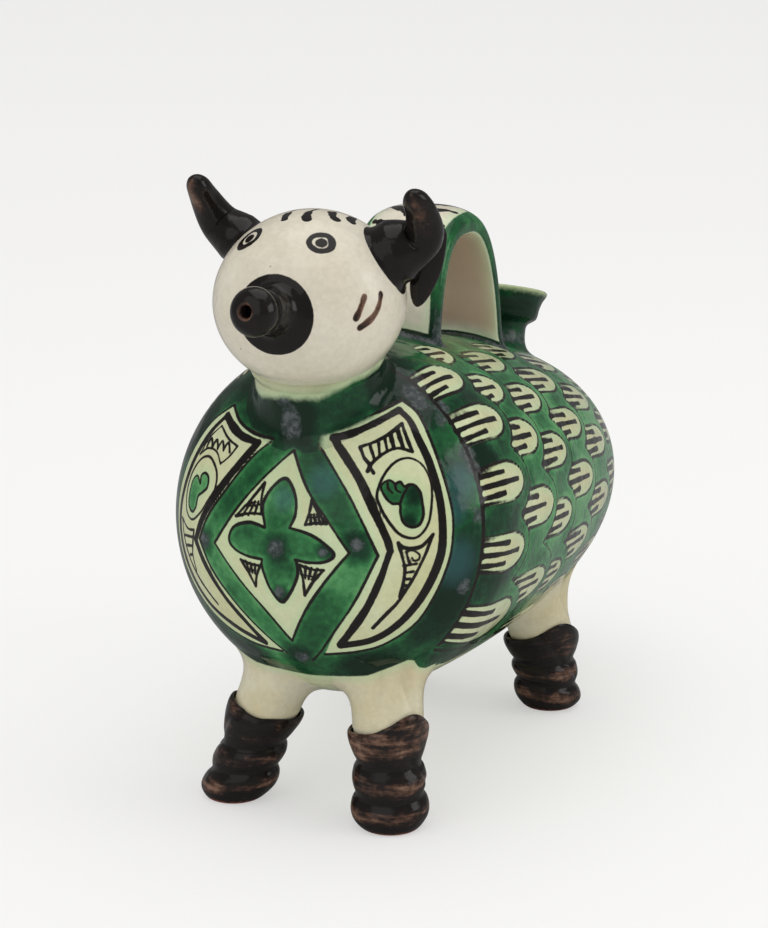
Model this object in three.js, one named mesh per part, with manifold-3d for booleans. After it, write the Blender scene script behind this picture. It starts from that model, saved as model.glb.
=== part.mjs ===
// Bull-shaped pitcher of glazed earthenware, in millimetres, +Z up, the bull looking along -Y.
// The potter throws the belly, head, neck collar and filling neck on the wheel as hollow forms,
// then lutes them together and adds the pouring muzzle, horns, ears, strap handle, legs,
// boots and tail in the same clay. Each of those pieces is one named mesh here.
// The origin is on the floor, under the middle of the whole object.

import * as THREE from "three";
import { mergeVertices } from "three/addons/utils/BufferGeometryUtils.js";
import Module from "manifold-3d";

const wasm = await Module();
wasm.setup();

// Driving dimensions: lengths in millimetres, angles in degrees.
const SEAT_GAP = 0.3; // left between two joined pieces

const BELLY_RADIUS = 70; // at its fattest ring
const BELLY_CHEST = 58.7; // from the fattest ring forward to the chest
const BELLY_RUMP = 222; // from the fattest ring back to the rump
const BELLY_WALL = 6;
const BELLY_RING_Y = -10.3; // where the fattest ring lies along the belly's axis
const BELLY_CLEARANCE = 42.9; // from the floor up to the fattest ring
const BELLY_PITCH = 7; // the chest is carried higher than the rump
const RUMP_FULLNESS = 3.2; // how squarely the rump is closed
const RUMP_TAPER = 1.8; // how early the belly draws in

const HEAD_RADIUS = 36.6; // across its thrown axis
const HEAD_HALF_HEIGHT = 33.2; // along its thrown axis
const HEAD_WALL = 5;
const HEAD_FORWARD = 33.2; // of the belly's fattest ring
const HEAD_RAISE = 23.4; // of the head's centre over the belly's fattest ring

const NECK_LEAN = 15; // head and collar lean forward together
const NECK_RADIUS = 24.8;
const NECK_RIDGE = 1.2; // soft rib under the head
const NECK_FLARE = 4; // how far the collar spreads on the chest
const NECK_DROP = 27.5; // from the head's centre down to the foot of the rib
const NECK_BORE = 17;

const MUZZLE_ROOT_RADIUS = 12.6;
const MUZZLE_WAIST_RADIUS = 8.6;
const MUZZLE_BULB_RADIUS = 9.4;
const MUZZLE_LIP_RADIUS = 3.4;
const MUZZLE_LENGTH = 18.6; // from the face to the lip
const MUZZLE_NOSE = 6.5; // from the bulb's fattest ring to the lip
const MUZZLE_RAISE = 1.7; // of its root over the head's centre
const MUZZLE_ASIDE = 2; // of its root beside the middle of the face
const MUZZLE_PITCH = 10; // it points a little up
const MUZZLE_TURN = 6.5; // and a little back towards the middle
const MUZZLE_BORE = 2.3;

const HORN_ROOT_RADIUS = 11.5;
const HORN_MIDDLE_RADIUS = 9.6;
const HORN_TIP_RADIUS = 4.6;
const HORN_REACH = 12; // out from the head's side to the elbow
const HORN_SWEEP = 17; // forward from the elbow to the tip
const HORN_RISE = 17; // up from the elbow to the tip

const EAR_LENGTH = 27.5; // it hangs from the underside of the horn's elbow
const EAR_WIDTH = 11.6;
const EAR_THICKNESS = 4.4;
const EAR_TUCK = 6.2; // how far its tip hangs in from the elbow

const HANDLE_WIDTH = 40; // across the back
const HANDLE_THICKNESS = 12;
const HANDLE_CROWN_THICKNESS = 16;
const HANDLE_MIDDLE_Y = 64.5;
const HANDLE_SPAN = 69; // between the middles of its two feet
const HANDLE_RISE = 46.8; // from the back up to the strap's middle at the crown
const HANDLE_LEAN = 4; // the crown leans this far towards the head

const FILLER_RIM_RADIUS = 19;
const FILLER_WAIST_RADIUS = 11.4;
const FILLER_FOOT_RADIUS = 18;
const FILLER_WALL = 3.4;
const FILLER_HEIGHT = 25; // from the back up to the lip
const FILLER_CUP_DEPTH = 12.5; // of the flared cup above the waist
const FILLER_WAIST_LENGTH = 4.5; // below the cup, before the foot spreads
const FILLER_LEAN = 17; // it leans towards the rump
const FILLER_Y = 148.6; // of its foot on the back

const BOOT_TOP_RADIUS = 16.4;
const BOOT_RIB_INSET = 1.6; // of the lower ribs behind the cuff
const BOOT_GROOVE_DEPTH = 1.8; // between two ribs
const BOOT_SOLE_INSET = 2.2; // of the sole's edge behind the grooves
const BOOT_WALL = 3.1; // of clay around the leg
const BOOT_RIBS = 3; // the cuff is the top one
const BOOT_SOLE_THICKNESS = 7;
const CUFF_PEAK = 10; // the cuff rises to a point on the outer side
const CUFF_TURN = -22; // the point is turned a little forward

const LEG_FLARE = 12; // how far the leg spreads under the belly

const TAIL_RADIUS = 4.2;
const TAIL_TIP_RADIUS = 5.4; // of the tuft
const TAIL_ROOT_SHARE = 0.467; // of the way from the filling neck's foot to the rump's end
const TAIL_TIP_TURN = 11; // how far past the middle of the rump the tuft hangs

// The four corners of the stance, set by hand and so not quite alike: the x and y of the
// boot's middle on the floor, how far the leg leans out and back for each millimetre down,
// and how tall the boot is.
const STANCE = {
  front_left: { side: 1, x: 32.2, y: -41.7, out: 0.07, back: -0.1, boot: 38.5 },
  front_right: { side: -1, x: 38.4, y: -36.6, out: 0.33, back: -0.13, boot: 35 },
  rear_left: { side: 1, x: 38.3, y: 117.5, out: 0.06, back: 0.18, boot: 33 },
  rear_right: { side: -1, x: 37.5, y: 116, out: 0.08, back: 0.17, boot: 33 },
};

const BELLY_SIDES = 44;
const HEAD_SIDES = 34;
const HOLLOW_SIDES = 20;
const ROUND_SIDES = 24;
const LIMB_SIDES = 18;

const CREAM = { color: 0xe2dac8, roughness: 0.22, metalness: 0 };
const GREEN = { color: 0x1f7a45, roughness: 0.2, metalness: 0 };
const BLACK = { color: 0x2a2320, roughness: 0.25, metalness: 0 };

const radians = THREE.MathUtils.degToRad;
const lerp = THREE.MathUtils.lerp;

const bellyHeight = BELLY_CLEARANCE + BELLY_RADIUS;
const headCentre = new THREE.Vector3(
  0,
  BELLY_RING_Y - HEAD_FORWARD,
  bellyHeight + BELLY_RADIUS + HEAD_RAISE,
);

const bootRibRadius = BOOT_TOP_RADIUS - BOOT_RIB_INSET;
const bootGrooveRadius = bootRibRadius - BOOT_GROOVE_DEPTH;
const bootSoleRadius = bootGrooveRadius - BOOT_SOLE_INSET;

// Solids, turned forms and swept forms.

function solidOf(geometry) {
  const plain = geometry.clone();
  plain.deleteAttribute("normal");
  plain.deleteAttribute("uv");
  const merged = mergeVertices(plain, 1e-4);
  return new wasm.Manifold(
    new wasm.Mesh({
      numProp: 3,
      vertProperties: merged.getAttribute("position").array,
      triVerts: new Uint32Array(merged.index.array),
    }),
  );
}

function meshOf(name, solid, look) {
  const made = solid.getMesh();
  const geometry = new THREE.BufferGeometry();
  geometry.setAttribute("position", new THREE.BufferAttribute(made.vertProperties, made.numProp));
  geometry.setIndex(new THREE.BufferAttribute(made.triVerts, 1));
  geometry.computeVertexNormals();
  const mesh = new THREE.Mesh(geometry, new THREE.MeshStandardMaterial(look));
  mesh.name = name;
  return mesh;
}

// A turned form standing on its axis: each point of the profile is [radius, height],
// going up the outside, and its first and last points lie on the axis.
function turned(profile, sides) {
  const points = profile.map(([radius, height]) => new THREE.Vector2(radius, height));
  return new THREE.LatheGeometry(points, sides).rotateX(Math.PI / 2);
}

// A section drawn about the origin at unit size and carried along a curve. Its half width
// lies along the side vector, and both half sizes follow the way along, from 0 to 1.
function swept(section, curve, steps, side, halfWidth, halfDepth) {
  const geometry = new THREE.ExtrudeGeometry(section, {
    depth: 1,
    steps,
    bevelEnabled: false,
    curveSegments: 6,
  });
  const place = geometry.getAttribute("position");
  for (let i = 0; i < place.count; i++) {
    const way = place.getZ(i);
    const along = curve.getTangentAt(way);
    const across = side.clone().addScaledVector(along, -side.dot(along)).normalize();
    const over = new THREE.Vector3().crossVectors(along, across);
    const point = curve
      .getPointAt(way)
      .addScaledVector(across, place.getX(i) * halfWidth(way))
      .addScaledVector(over, place.getY(i) * halfDepth(way));
    place.setXYZ(i, point.x, point.y, point.z);
  }
  return geometry;
}

// Share of its size that a limb keeps where it closes in a round nose.
function nose(way, start) {
  const share = Math.max(0, (way - start) / (1 - start));
  return Math.sqrt(Math.max(0.02, 1 - share * share));
}

const DISC = new THREE.Shape().absarc(0, 0, 1, 0, 2 * Math.PI);

// Belly: two quarter curves turned about an axis that runs from chest to rump.

function bellyRadiusAt(along) {
  const fromRing = along - BELLY_RING_Y;
  if (fromRing < 0) {
    return BELLY_RADIUS * Math.sqrt(Math.max(0, 1 - (fromRing / BELLY_CHEST) ** 2));
  }
  const share = Math.min(1, fromRing / BELLY_RUMP);
  return BELLY_RADIUS * (1 - share ** RUMP_TAPER) ** (1 / RUMP_FULLNESS);
}

function bellySolid(grow, sides, rows) {
  const radius = BELLY_RADIUS + grow;
  const profile = [];
  for (let i = 0; i < rows; i++) {
    const turn = ((i / rows) * Math.PI) / 2;
    profile.push([
      radius * Math.sin(turn),
      BELLY_RING_Y - (BELLY_CHEST + grow) * Math.cos(turn),
    ]);
  }
  for (let i = 0; i <= 2 * rows; i++) {
    const turn = ((1 - i / (2 * rows)) * Math.PI) / 2;
    const reach = Math.cos(turn) ** (2 / RUMP_TAPER);
    const width = i === 2 * rows ? 0 : Math.sin(turn) ** (2 / RUMP_FULLNESS);
    profile.push([radius * width, BELLY_RING_Y + (BELLY_RUMP + grow) * reach]);
  }
  return solidOf(
    turned(profile, sides)
      .rotateX(-Math.PI / 2 - radians(BELLY_PITCH))
      .translate(0, 0, bellyHeight),
  );
}

function insideBelly(point) {
  const pitch = radians(BELLY_PITCH);
  const up = point.z - bellyHeight;
  const along = point.y * Math.cos(pitch) - up * Math.sin(pitch);
  const lift = point.y * Math.sin(pitch) + up * Math.cos(pitch);
  return Math.hypot(point.x, lift) < bellyRadiusAt(along);
}

// How far a straight path runs from a start outside before it goes into the belly.
function reachOfBelly(start, direction, farthest) {
  let outside = 0;
  let inside = farthest;
  for (let i = 0; i < 24; i++) {
    const middle = (outside + inside) / 2;
    if (insideBelly(start.clone().addScaledVector(direction, middle))) {
      inside = middle;
    } else {
      outside = middle;
    }
  }
  return inside;
}

// Height of the belly's top line over a place on the floor's middle line.
function backHeight(y) {
  const above = new THREE.Vector3(0, y, bellyHeight + 2 * BELLY_RADIUS);
  return above.z - reachOfBelly(above, new THREE.Vector3(0, 0, -1), 2 * BELLY_RADIUS);
}

// A limb turned on its own axis, with a plain profile up to its mouth: heights there are
// lengths before the mouth. Past the mouth it spreads and runs on until each of its sides
// meets the belly, and it spreads less on a side where the belly falls away steeply.
function ontoBelly(plain, mouthRadius, flare, sides, frame) {
  const rows = 5;
  const profile = [...plain, [mouthRadius, 0]];
  for (let i = 1; i <= rows; i++) {
    profile.push([mouthRadius, i / rows]);
  }
  profile.push([mouthRadius, 2], [0, 2]);
  const geometry = turned(profile, sides);
  const place = geometry.getAttribute("position");
  for (let i = 0; i < place.count; i++) {
    const radius = Math.hypot(place.getX(i), place.getY(i));
    const height = place.getZ(i);
    const outwards = new THREE.Vector3()
      .addScaledVector(frame.across, place.getX(i) / (radius || 1))
      .addScaledVector(frame.forward, place.getY(i) / (radius || 1));
    const reach = (wide) => {
      const start = outwards.clone().multiplyScalar(wide).add(frame.mouth);
      return reachOfBelly(start, frame.axis, BELLY_RADIUS);
    };
    let wide = radius;
    let travel = height;
    if (height > 0) {
      const share = Math.min(1, height);
      const nearest = reach(radius);
      let spread = radius > 0 ? flare : 0;
      let farthest = reach(radius + spread);
      while (spread > 0 && farthest - nearest > spread) {
        spread = Math.max(0, spread - flare / 20);
        farthest = reach(radius + spread);
      }
      wide = radius + spread * share ** 2.4;
      travel = farthest * share + (height > 1 ? BELLY_WALL / 2 : 0);
    }
    const point = outwards.multiplyScalar(wide).add(frame.mouth).addScaledVector(frame.axis, travel);
    place.setXYZ(i, point.x, point.y, point.z);
  }
  return geometry;
}

// Head and neck collar share one leaning axis through the head's centre.

function onNeck(geometry) {
  return geometry.rotateX(radians(NECK_LEAN)).translate(headCentre.x, headCentre.y, headCentre.z);
}

function headSolid(grow, sides) {
  const across = HEAD_RADIUS + grow;
  const along = HEAD_HALF_HEIGHT + grow;
  const ball = new THREE.SphereGeometry(1, sides, sides / 2).rotateX(Math.PI / 2);
  return solidOf(onNeck(ball.scale(across, across, along)));
}

function neckBoreSolid() {
  const bottom = -HEAD_HALF_HEIGHT - BELLY_RADIUS / 2;
  return solidOf(
    onNeck(turned([[0, bottom], [NECK_BORE, bottom], [NECK_BORE, 0], [0, 0]], HOLLOW_SIDES)),
  );
}

function neckSolid() {
  const lean = radians(NECK_LEAN);
  const axis = new THREE.Vector3(0, Math.sin(lean), -Math.cos(lean));
  const across = new THREE.Vector3(1, 0, 0);
  const frame = {
    mouth: headCentre.clone().addScaledVector(axis, NECK_DROP),
    across,
    forward: new THREE.Vector3().crossVectors(axis, across),
    axis,
  };
  const rib = NECK_RADIUS + NECK_RIDGE;
  const plain = [
    [0, -11],
    [NECK_RADIUS, -11],
    [NECK_RADIUS, -5],
    [rib, -3],
    [rib, -2],
  ];
  return solidOf(ontoBelly(plain, NECK_RADIUS, NECK_FLARE, HEAD_SIDES, frame));
}

// Muzzle: a pinched nozzle with a flared root, a bulb and a small pouring hole.

const faceReach = 1 / Math.hypot(
  Math.sin(radians(NECK_LEAN)) / HEAD_HALF_HEIGHT,
  Math.cos(radians(NECK_LEAN)) / HEAD_RADIUS,
);

function onMuzzle(geometry) {
  return geometry
    .rotateX(Math.PI / 2 - radians(MUZZLE_PITCH))
    .rotateZ(-radians(MUZZLE_TURN))
    .translate(MUZZLE_ASIDE, headCentre.y - faceReach, headCentre.z + MUZZLE_RAISE);
}

function muzzleSolid() {
  const root = -8;
  const bulb = MUZZLE_LENGTH - MUZZLE_NOSE;
  const flare = MUZZLE_ROOT_RADIUS - MUZZLE_WAIST_RADIUS;
  const profile = [[0, root], [MUZZLE_ROOT_RADIUS + 2, root]];
  for (const spread of [1, 0.65, 0.35, 0]) {
    profile.push([MUZZLE_WAIST_RADIUS + flare * spread ** 1.5, 5 - 7.6 * spread]);
  }
  profile.push([MUZZLE_BULB_RADIUS, bulb - 1.5]);
  for (const turn of [0, 25, 50, 70, 90]) {
    const round = radians(turn);
    profile.push([
      lerp(MUZZLE_LIP_RADIUS, MUZZLE_BULB_RADIUS, Math.cos(round)),
      lerp(bulb, MUZZLE_LENGTH, Math.sin(round)),
    ]);
  }
  profile.push([0, MUZZLE_LENGTH]);
  return solidOf(onMuzzle(turned(profile, ROUND_SIDES)));
}

function muzzleBoreSolid() {
  const inner = -3 * HEAD_WALL;
  const outer = MUZZLE_LENGTH + 2;
  return solidOf(
    onMuzzle(turned([[0, inner], [MUZZLE_BORE, inner], [MUZZLE_BORE, outer], [0, outer]], 12)),
  );
}

// Horns and ears: their curves are measured from where the horn's root meets the head.

const hornRoot = new THREE.Vector3(0.84, 0.13, 0.52).multiplyScalar(HEAD_RADIUS).add(headCentre);

function fromRoot(x, y, z) {
  return new THREE.Vector3(x, y, z).add(hornRoot);
}

function hornSolid(grow) {
  const curve = new THREE.CatmullRomCurve3([
    fromRoot(-7, 0, -4),
    fromRoot(2, 1.5, 1),
    fromRoot(HORN_REACH * 0.65, 4, 3.5),
    fromRoot(HORN_REACH, 4, 8),
    fromRoot(HORN_REACH + 2, 4 - HORN_SWEEP * 0.45, 8 + HORN_RISE * 0.45),
    fromRoot(HORN_REACH + 1.5, 4 - HORN_SWEEP, 8 + HORN_RISE),
  ]);
  const flare = HORN_ROOT_RADIUS - HORN_MIDDLE_RADIUS + 2;
  const size = (way) => {
    const plain = lerp(HORN_MIDDLE_RADIUS, HORN_TIP_RADIUS, way) * nose(way, 0.88);
    return plain + grow + flare * Math.max(0, 1 - way / 0.42) ** 2;
  };
  return solidOf(swept(DISC, curve, 14, new THREE.Vector3(0, 1, 0), size, size));
}

function earSolid() {
  const curve = new THREE.CatmullRomCurve3([
    fromRoot(HORN_REACH, 9.5, 5.5),
    fromRoot(HORN_REACH - EAR_TUCK * 0.26, 10, 5.5 - EAR_LENGTH * 0.38),
    fromRoot(HORN_REACH - EAR_TUCK * 0.71, 10.7, 5.5 - EAR_LENGTH * 0.72),
    fromRoot(HORN_REACH - EAR_TUCK, 11, 5.5 - EAR_LENGTH),
  ]);
  const leaf = (way) => (1 - Math.max(0, (way - 0.2) / 0.8) ** 2) ** 0.9;
  const width = (way) => EAR_WIDTH / 2 * Math.max(0.12, leaf(way));
  const depth = (way) => EAR_THICKNESS / 2 * Math.max(0.35, leaf(way));
  return solidOf(swept(DISC, curve, 10, new THREE.Vector3(1, 0.35, 0), width, depth));
}

// Handle: a wide strap, domed outside and flat inside, arched from withers to loins.

function handleSolid() {
  const sink = bellyHeight + BELLY_RADIUS * 0.6;
  const rise = backHeight(HANDLE_MIDDLE_Y) + HANDLE_RISE - sink;
  const points = [];
  for (let i = 0; i <= 10; i++) {
    const turn = Math.PI * (1 - i / 10);
    const swing = Math.sign(Math.cos(turn)) * Math.abs(Math.cos(turn)) ** 0.78;
    const lean = HANDLE_LEAN * (1 - Math.sin(turn));
    points.push(
      new THREE.Vector3(
        0,
        HANDLE_MIDDLE_Y + lean + (HANDLE_SPAN / 2) * swing,
        sink + rise * Math.sin(turn) ** 0.86,
      ),
    );
  }
  const arch = new THREE.CatmullRomCurve3(points);
  const section = new THREE.Shape();
  section.moveTo(-0.96, -0.5);
  section.quadraticCurveTo(0, -0.9, 0.96, -0.5);
  section.quadraticCurveTo(1.08, 0.1, 0.8, 0.45);
  section.quadraticCurveTo(0, 1.2, -0.8, 0.45);
  section.quadraticCurveTo(-1.08, 0.1, -0.96, -0.5);
  const crown = HANDLE_CROWN_THICKNESS - HANDLE_THICKNESS;
  const width = () => HANDLE_WIDTH / 2;
  const depth = (way) => (HANDLE_THICKNESS + crown * Math.sin(Math.PI * way) ** 2) / 2;
  return solidOf(swept(section, arch, 20, new THREE.Vector3(-1, 0, 0), width, depth));
}

// Filling neck: a flared cup over a narrow waist, spreading again where it meets the back.

const fillerLean = radians(FILLER_LEAN);
const fillerAxis = new THREE.Vector3(0, Math.sin(fillerLean), Math.cos(fillerLean));
const fillerRim = new THREE.Vector3(0, FILLER_Y, backHeight(FILLER_Y))
  .addScaledVector(fillerAxis, FILLER_HEIGHT);

function fillerSolid() {
  const axis = fillerAxis.clone().negate();
  const across = new THREE.Vector3(1, 0, 0);
  const waist = FILLER_CUP_DEPTH + FILLER_WAIST_LENGTH;
  const frame = {
    mouth: fillerRim.clone().addScaledVector(axis, waist),
    across,
    forward: new THREE.Vector3().crossVectors(axis, across),
    axis,
  };
  const belowLip = [
    [FILLER_RIM_RADIUS - 0.8, -1],
    [FILLER_RIM_RADIUS, 0],
    [FILLER_RIM_RADIUS - 0.2, 1.2],
    [FILLER_RIM_RADIUS - 2, 4],
    [FILLER_RIM_RADIUS - 3.2, FILLER_CUP_DEPTH - 2.6],
    [FILLER_WAIST_RADIUS + 2.8, FILLER_CUP_DEPTH],
    [FILLER_WAIST_RADIUS, FILLER_CUP_DEPTH + 2],
  ];
  const plain = [[0, -1 - waist], ...belowLip.map(([radius, depth]) => [radius, depth - waist])];
  const flare = FILLER_FOOT_RADIUS - FILLER_WAIST_RADIUS;
  return solidOf(ontoBelly(plain, FILLER_WAIST_RADIUS, flare, ROUND_SIDES, frame));
}

function fillerBoreSolid() {
  const bottom = -FILLER_HEIGHT - 4 * BELLY_WALL;
  const narrow = FILLER_WAIST_RADIUS - FILLER_WALL;
  const wide = FILLER_RIM_RADIUS - FILLER_WALL;
  const profile = [
    [0, bottom],
    [narrow, bottom],
    [narrow, -FILLER_CUP_DEPTH - 1],
    [wide - 2.4, -FILLER_CUP_DEPTH + 3.5],
    [wide, -1],
    [wide + 1.4, 1.2],
    [wide + 1.4, 4],
    [0, 4],
  ];
  return solidOf(
    turned(profile, HOLLOW_SIDES)
      .rotateX(-fillerLean)
      .translate(fillerRim.x, fillerRim.y, fillerRim.z),
  );
}

// Legs and boots: every level is a flat round, shifted as far as the leg leans there.

function stanceAxis(stance) {
  return new THREE.Vector3(-stance.side * stance.out, -stance.back, 1);
}

function legSolid(stance, grow) {
  const axis = stanceAxis(stance);
  const floor = new THREE.Vector3(stance.side * stance.x, stance.y, 0);
  const frame = {
    mouth: floor.addScaledVector(axis, stance.boot),
    across: new THREE.Vector3(1, 0, 0),
    forward: new THREE.Vector3(0, 1, 0),
    axis,
  };
  const stub = bootGrooveRadius - BOOT_WALL + grow;
  const mouth = BOOT_TOP_RADIUS - BOOT_WALL + grow;
  const bottom = BOOT_SOLE_THICKNESS - grow - stance.boot;
  return solidOf(ontoBelly([[0, bottom], [stub, bottom]], mouth, LEG_FLARE, LIMB_SIDES, frame));
}

function bootSolid(stance) {
  const profile = [[0, 0], [bootSoleRadius, 0], [bootSoleRadius + 1.8, 2.2]];
  const rise = (stance.boot - 1.5) / BOOT_RIBS;
  for (let rib = 0; rib < BOOT_RIBS - 1; rib++) {
    const low = 1.5 + rib * rise;
    profile.push([lerp(bootGrooveRadius, bootRibRadius, 0.6), low + 0.26 * rise]);
    profile.push([bootRibRadius, low + 0.5 * rise]);
    profile.push([lerp(bootGrooveRadius, bootRibRadius, 0.7), low + 0.78 * rise]);
    profile.push([bootGrooveRadius, low + rise]);
  }
  const cuffStart = stance.boot - rise;
  profile.push([lerp(bootGrooveRadius, BOOT_TOP_RADIUS, 0.5), cuffStart + 0.3 * rise]);
  profile.push([BOOT_TOP_RADIUS, cuffStart + 0.62 * rise]);
  profile.push([BOOT_TOP_RADIUS, cuffStart + 0.86 * rise]);
  profile.push([BOOT_TOP_RADIUS - 1.6, stance.boot]);
  profile.push([0, stance.boot]);
  const geometry = turned(profile, LIMB_SIDES);
  const place = geometry.getAttribute("position");
  const turn = radians(CUFF_TURN);
  const peak = new THREE.Vector2(stance.side * Math.cos(turn), Math.sin(turn));
  const axis = stanceAxis(stance);
  for (let i = 0; i < place.count; i++) {
    const point = new THREE.Vector3().fromBufferAttribute(place, i);
    const radius = Math.hypot(point.x, point.y);
    if (point.z > cuffStart && radius > 1) {
      const facing = Math.max(0, (point.x * peak.x + point.y * peak.y) / radius) ** 4;
      point.z += (CUFF_PEAK * facing * (point.z - cuffStart)) / rise;
    }
    const level = point.z;
    point.add(new THREE.Vector3(stance.side * stance.x, stance.y, -level));
    point.addScaledVector(axis, level);
    place.setXYZ(i, point.x, point.y, point.z);
  }
  return solidOf(geometry);
}

// Tail: a roll of clay laid down the middle of the rump, ending in a tuft.

function tailSolid() {
  const pitch = radians(BELLY_PITCH);
  const behindFiller = FILLER_Y + FILLER_FOOT_RADIUS;
  const lift = backHeight(behindFiller) - bellyHeight;
  const filler = behindFiller * Math.cos(pitch) - lift * Math.sin(pitch) - BELLY_RING_Y;
  const rootReach = lerp(filler, BELLY_RUMP, TAIL_ROOT_SHARE) / BELLY_RUMP;
  const rootTurn = Math.acos(rootReach ** (RUMP_TAPER / 2));
  const points = [];
  for (let i = 0; i <= 6; i++) {
    const turn = lerp(rootTurn, -radians(TAIL_TIP_TURN), i / 6);
    const reach = Math.cos(turn) ** (2 / RUMP_TAPER);
    const along = BELLY_RING_Y + BELLY_RUMP * reach + TAIL_RADIUS / 2;
    const level = BELLY_RADIUS * Math.sign(turn) * Math.abs(Math.sin(turn)) ** (2 / RUMP_FULLNESS);
    points.push(
      new THREE.Vector3(
        0,
        along * Math.cos(pitch) + level * Math.sin(pitch),
        bellyHeight - along * Math.sin(pitch) + level * Math.cos(pitch),
      ),
    );
  }
  const curve = new THREE.CatmullRomCurve3(points);
  const tuft = TAIL_TIP_RADIUS - TAIL_RADIUS;
  const size = (way) => {
    return (TAIL_RADIUS + tuft * Math.max(0, Math.sin(Math.PI * (way * 2 - 1)))) * nose(way, 0.85);
  };
  return solidOf(swept(DISC, curve, 14, new THREE.Vector3(1, 0, 0), size, size));
}

// The pieces, each cut to its seat on the one that carries it.

const ROWS = 8;
const HOLLOW_ROWS = 5;
const bellyCutter = bellySolid(SEAT_GAP, BELLY_SIDES, ROWS);
const headCutter = headSolid(SEAT_GAP, HEAD_SIDES);
const neckBore = neckBoreSolid();
const fillerBore = fillerBoreSolid();
const muzzleBore = muzzleBoreSolid();

const body = bellySolid(0, BELLY_SIDES, ROWS)
  .subtract(bellySolid(-BELLY_WALL, HOLLOW_SIDES, HOLLOW_ROWS))
  .subtract(neckBore)
  .subtract(fillerBore);

const head = headSolid(0, HEAD_SIDES)
  .subtract(headSolid(-HEAD_WALL, HOLLOW_SIDES))
  .subtract(neckBore)
  .subtract(muzzleBore)
  .subtract(bellyCutter);

const neck = neckSolid().subtract(bellyCutter).subtract(headCutter).subtract(neckBore);
const muzzle = muzzleSolid().subtract(headCutter).subtract(muzzleBore);
const handle = handleSolid().subtract(bellyCutter);
const filler = fillerSolid().subtract(bellyCutter).subtract(fillerBore);
const horn = hornSolid(0).subtract(headCutter);
const ear = earSolid().subtract(headCutter).subtract(hornSolid(SEAT_GAP));
const tail = tailSolid().subtract(bellyCutter);

const bull = new THREE.Group();
bull.add(
  meshOf("body_shell", body, GREEN),
  meshOf("neck_collar", neck, CREAM),
  meshOf("head_shell", head, CREAM),
  meshOf("muzzle_spout", muzzle, BLACK),
  meshOf("handle_strap", handle, CREAM),
  meshOf("filler_neck", filler, GREEN),
  meshOf("tail", tail, BLACK),
);

for (const [side, mirror] of [["left", 1], ["right", -1]]) {
  for (const [name, solid] of [["horn_", horn], ["ear_", ear]]) {
    const mesh = meshOf(name + side, solid, BLACK);
    mesh.scale.x = mirror;
    bull.add(mesh);
  }
}

// The two legs of a pair spread towards each other and stop short of the middle plane.
for (const [corner, stance] of Object.entries(STANCE)) {
  const half = solidOf(
    new THREE.BoxGeometry(2 * BELLY_RADIUS, 2 * BELLY_RUMP, 2 * bellyHeight)
      .translate(stance.side * (BELLY_RADIUS + SEAT_GAP / 2), 0, bellyHeight),
  );
  const leg = legSolid(stance, 0).subtract(bellyCutter).intersect(half);
  const boot = bootSolid(stance).subtract(legSolid(stance, SEAT_GAP));
  bull.add(meshOf("leg_" + corner, leg, CREAM), meshOf("boot_" + corner, boot, BLACK));
}

// Stand the bull with the middle of its length over the origin.
const extent = new THREE.Box3().setFromObject(bull);
bull.position.y = -(extent.min.y + extent.max.y) / 2;

export default bull;
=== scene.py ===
# %% [markdown]
# # A bull-shaped pitcher of glazed earthenware
# The real pitcher is a potter's assembly: a thrown belly lying on its side, a thrown head on a
# collar, a strap handle, a filling neck, and legs in ribbed boots, all luted together and fired
# once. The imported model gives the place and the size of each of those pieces. This lesson makes a
# finer skin for each of them, and then paints it the way the painter did, stroke by stroke.

# %% Load the frame
import math

import bmesh
import bpy
import numpy as np
from mathutils import Matrix


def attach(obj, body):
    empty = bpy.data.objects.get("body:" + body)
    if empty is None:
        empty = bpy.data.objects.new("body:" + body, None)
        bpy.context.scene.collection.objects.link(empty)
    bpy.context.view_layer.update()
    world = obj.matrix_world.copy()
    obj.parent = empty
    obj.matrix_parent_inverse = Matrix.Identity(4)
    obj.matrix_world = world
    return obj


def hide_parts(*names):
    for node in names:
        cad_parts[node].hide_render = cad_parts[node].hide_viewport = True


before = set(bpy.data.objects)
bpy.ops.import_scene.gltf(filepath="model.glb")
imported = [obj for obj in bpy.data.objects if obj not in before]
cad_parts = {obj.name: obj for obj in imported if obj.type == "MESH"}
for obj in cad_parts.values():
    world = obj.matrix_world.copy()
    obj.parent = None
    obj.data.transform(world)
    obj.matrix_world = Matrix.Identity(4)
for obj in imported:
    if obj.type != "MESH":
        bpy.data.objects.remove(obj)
scene = bpy.context.scene
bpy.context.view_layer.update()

# %% [markdown]
# ## Measures
# A potter thinks in millimetres, so every shape is made in millimetres, standing where the
# pitcher's own sizes put it, and is turned into metres in the very last step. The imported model
# stands with the middle of its length over the origin, so that one shift is kept here.

# %% Measures
MM = 0.001
MIDDLE_Y = -59.5176  # the shift that puts the middle of the length over the origin
rng = np.random.default_rng(12)


def vec(x, y, z):
    return np.array([x, y, z], float)


def unit(v):
    return v / np.maximum(np.linalg.norm(v, axis=-1, keepdims=True), 1e-9)


# %% [markdown]
# ## Camera
# The picture was taken from the bull's front left, a little from above, with a long lens. A long
# lens keeps the far rump nearly as large as the near chest, so its length matters as much as its
# place. The long side of the picture is its height, which Blender's sensor width then stands for.

# %% Camera
CAMERA_TURN = 23.98  # degrees round from straight ahead, towards the bull's left
CAMERA_RISE = 14.39  # degrees above level
CAMERA_AWAY = 1080  # from the point that it looks at
CAMERA_AIM = vec(8.69, 0, 133.26)
PICTURE_WIDTH, PICTURE_HEIGHT = 768, 928  # in pixels, as the next two values
LENS_LENGTH = 2739.88
PICTURE_MIDDLE = (378.78, 463.57)  # where the line of sight meets the picture
SENSOR = 36  # millimetres

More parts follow.
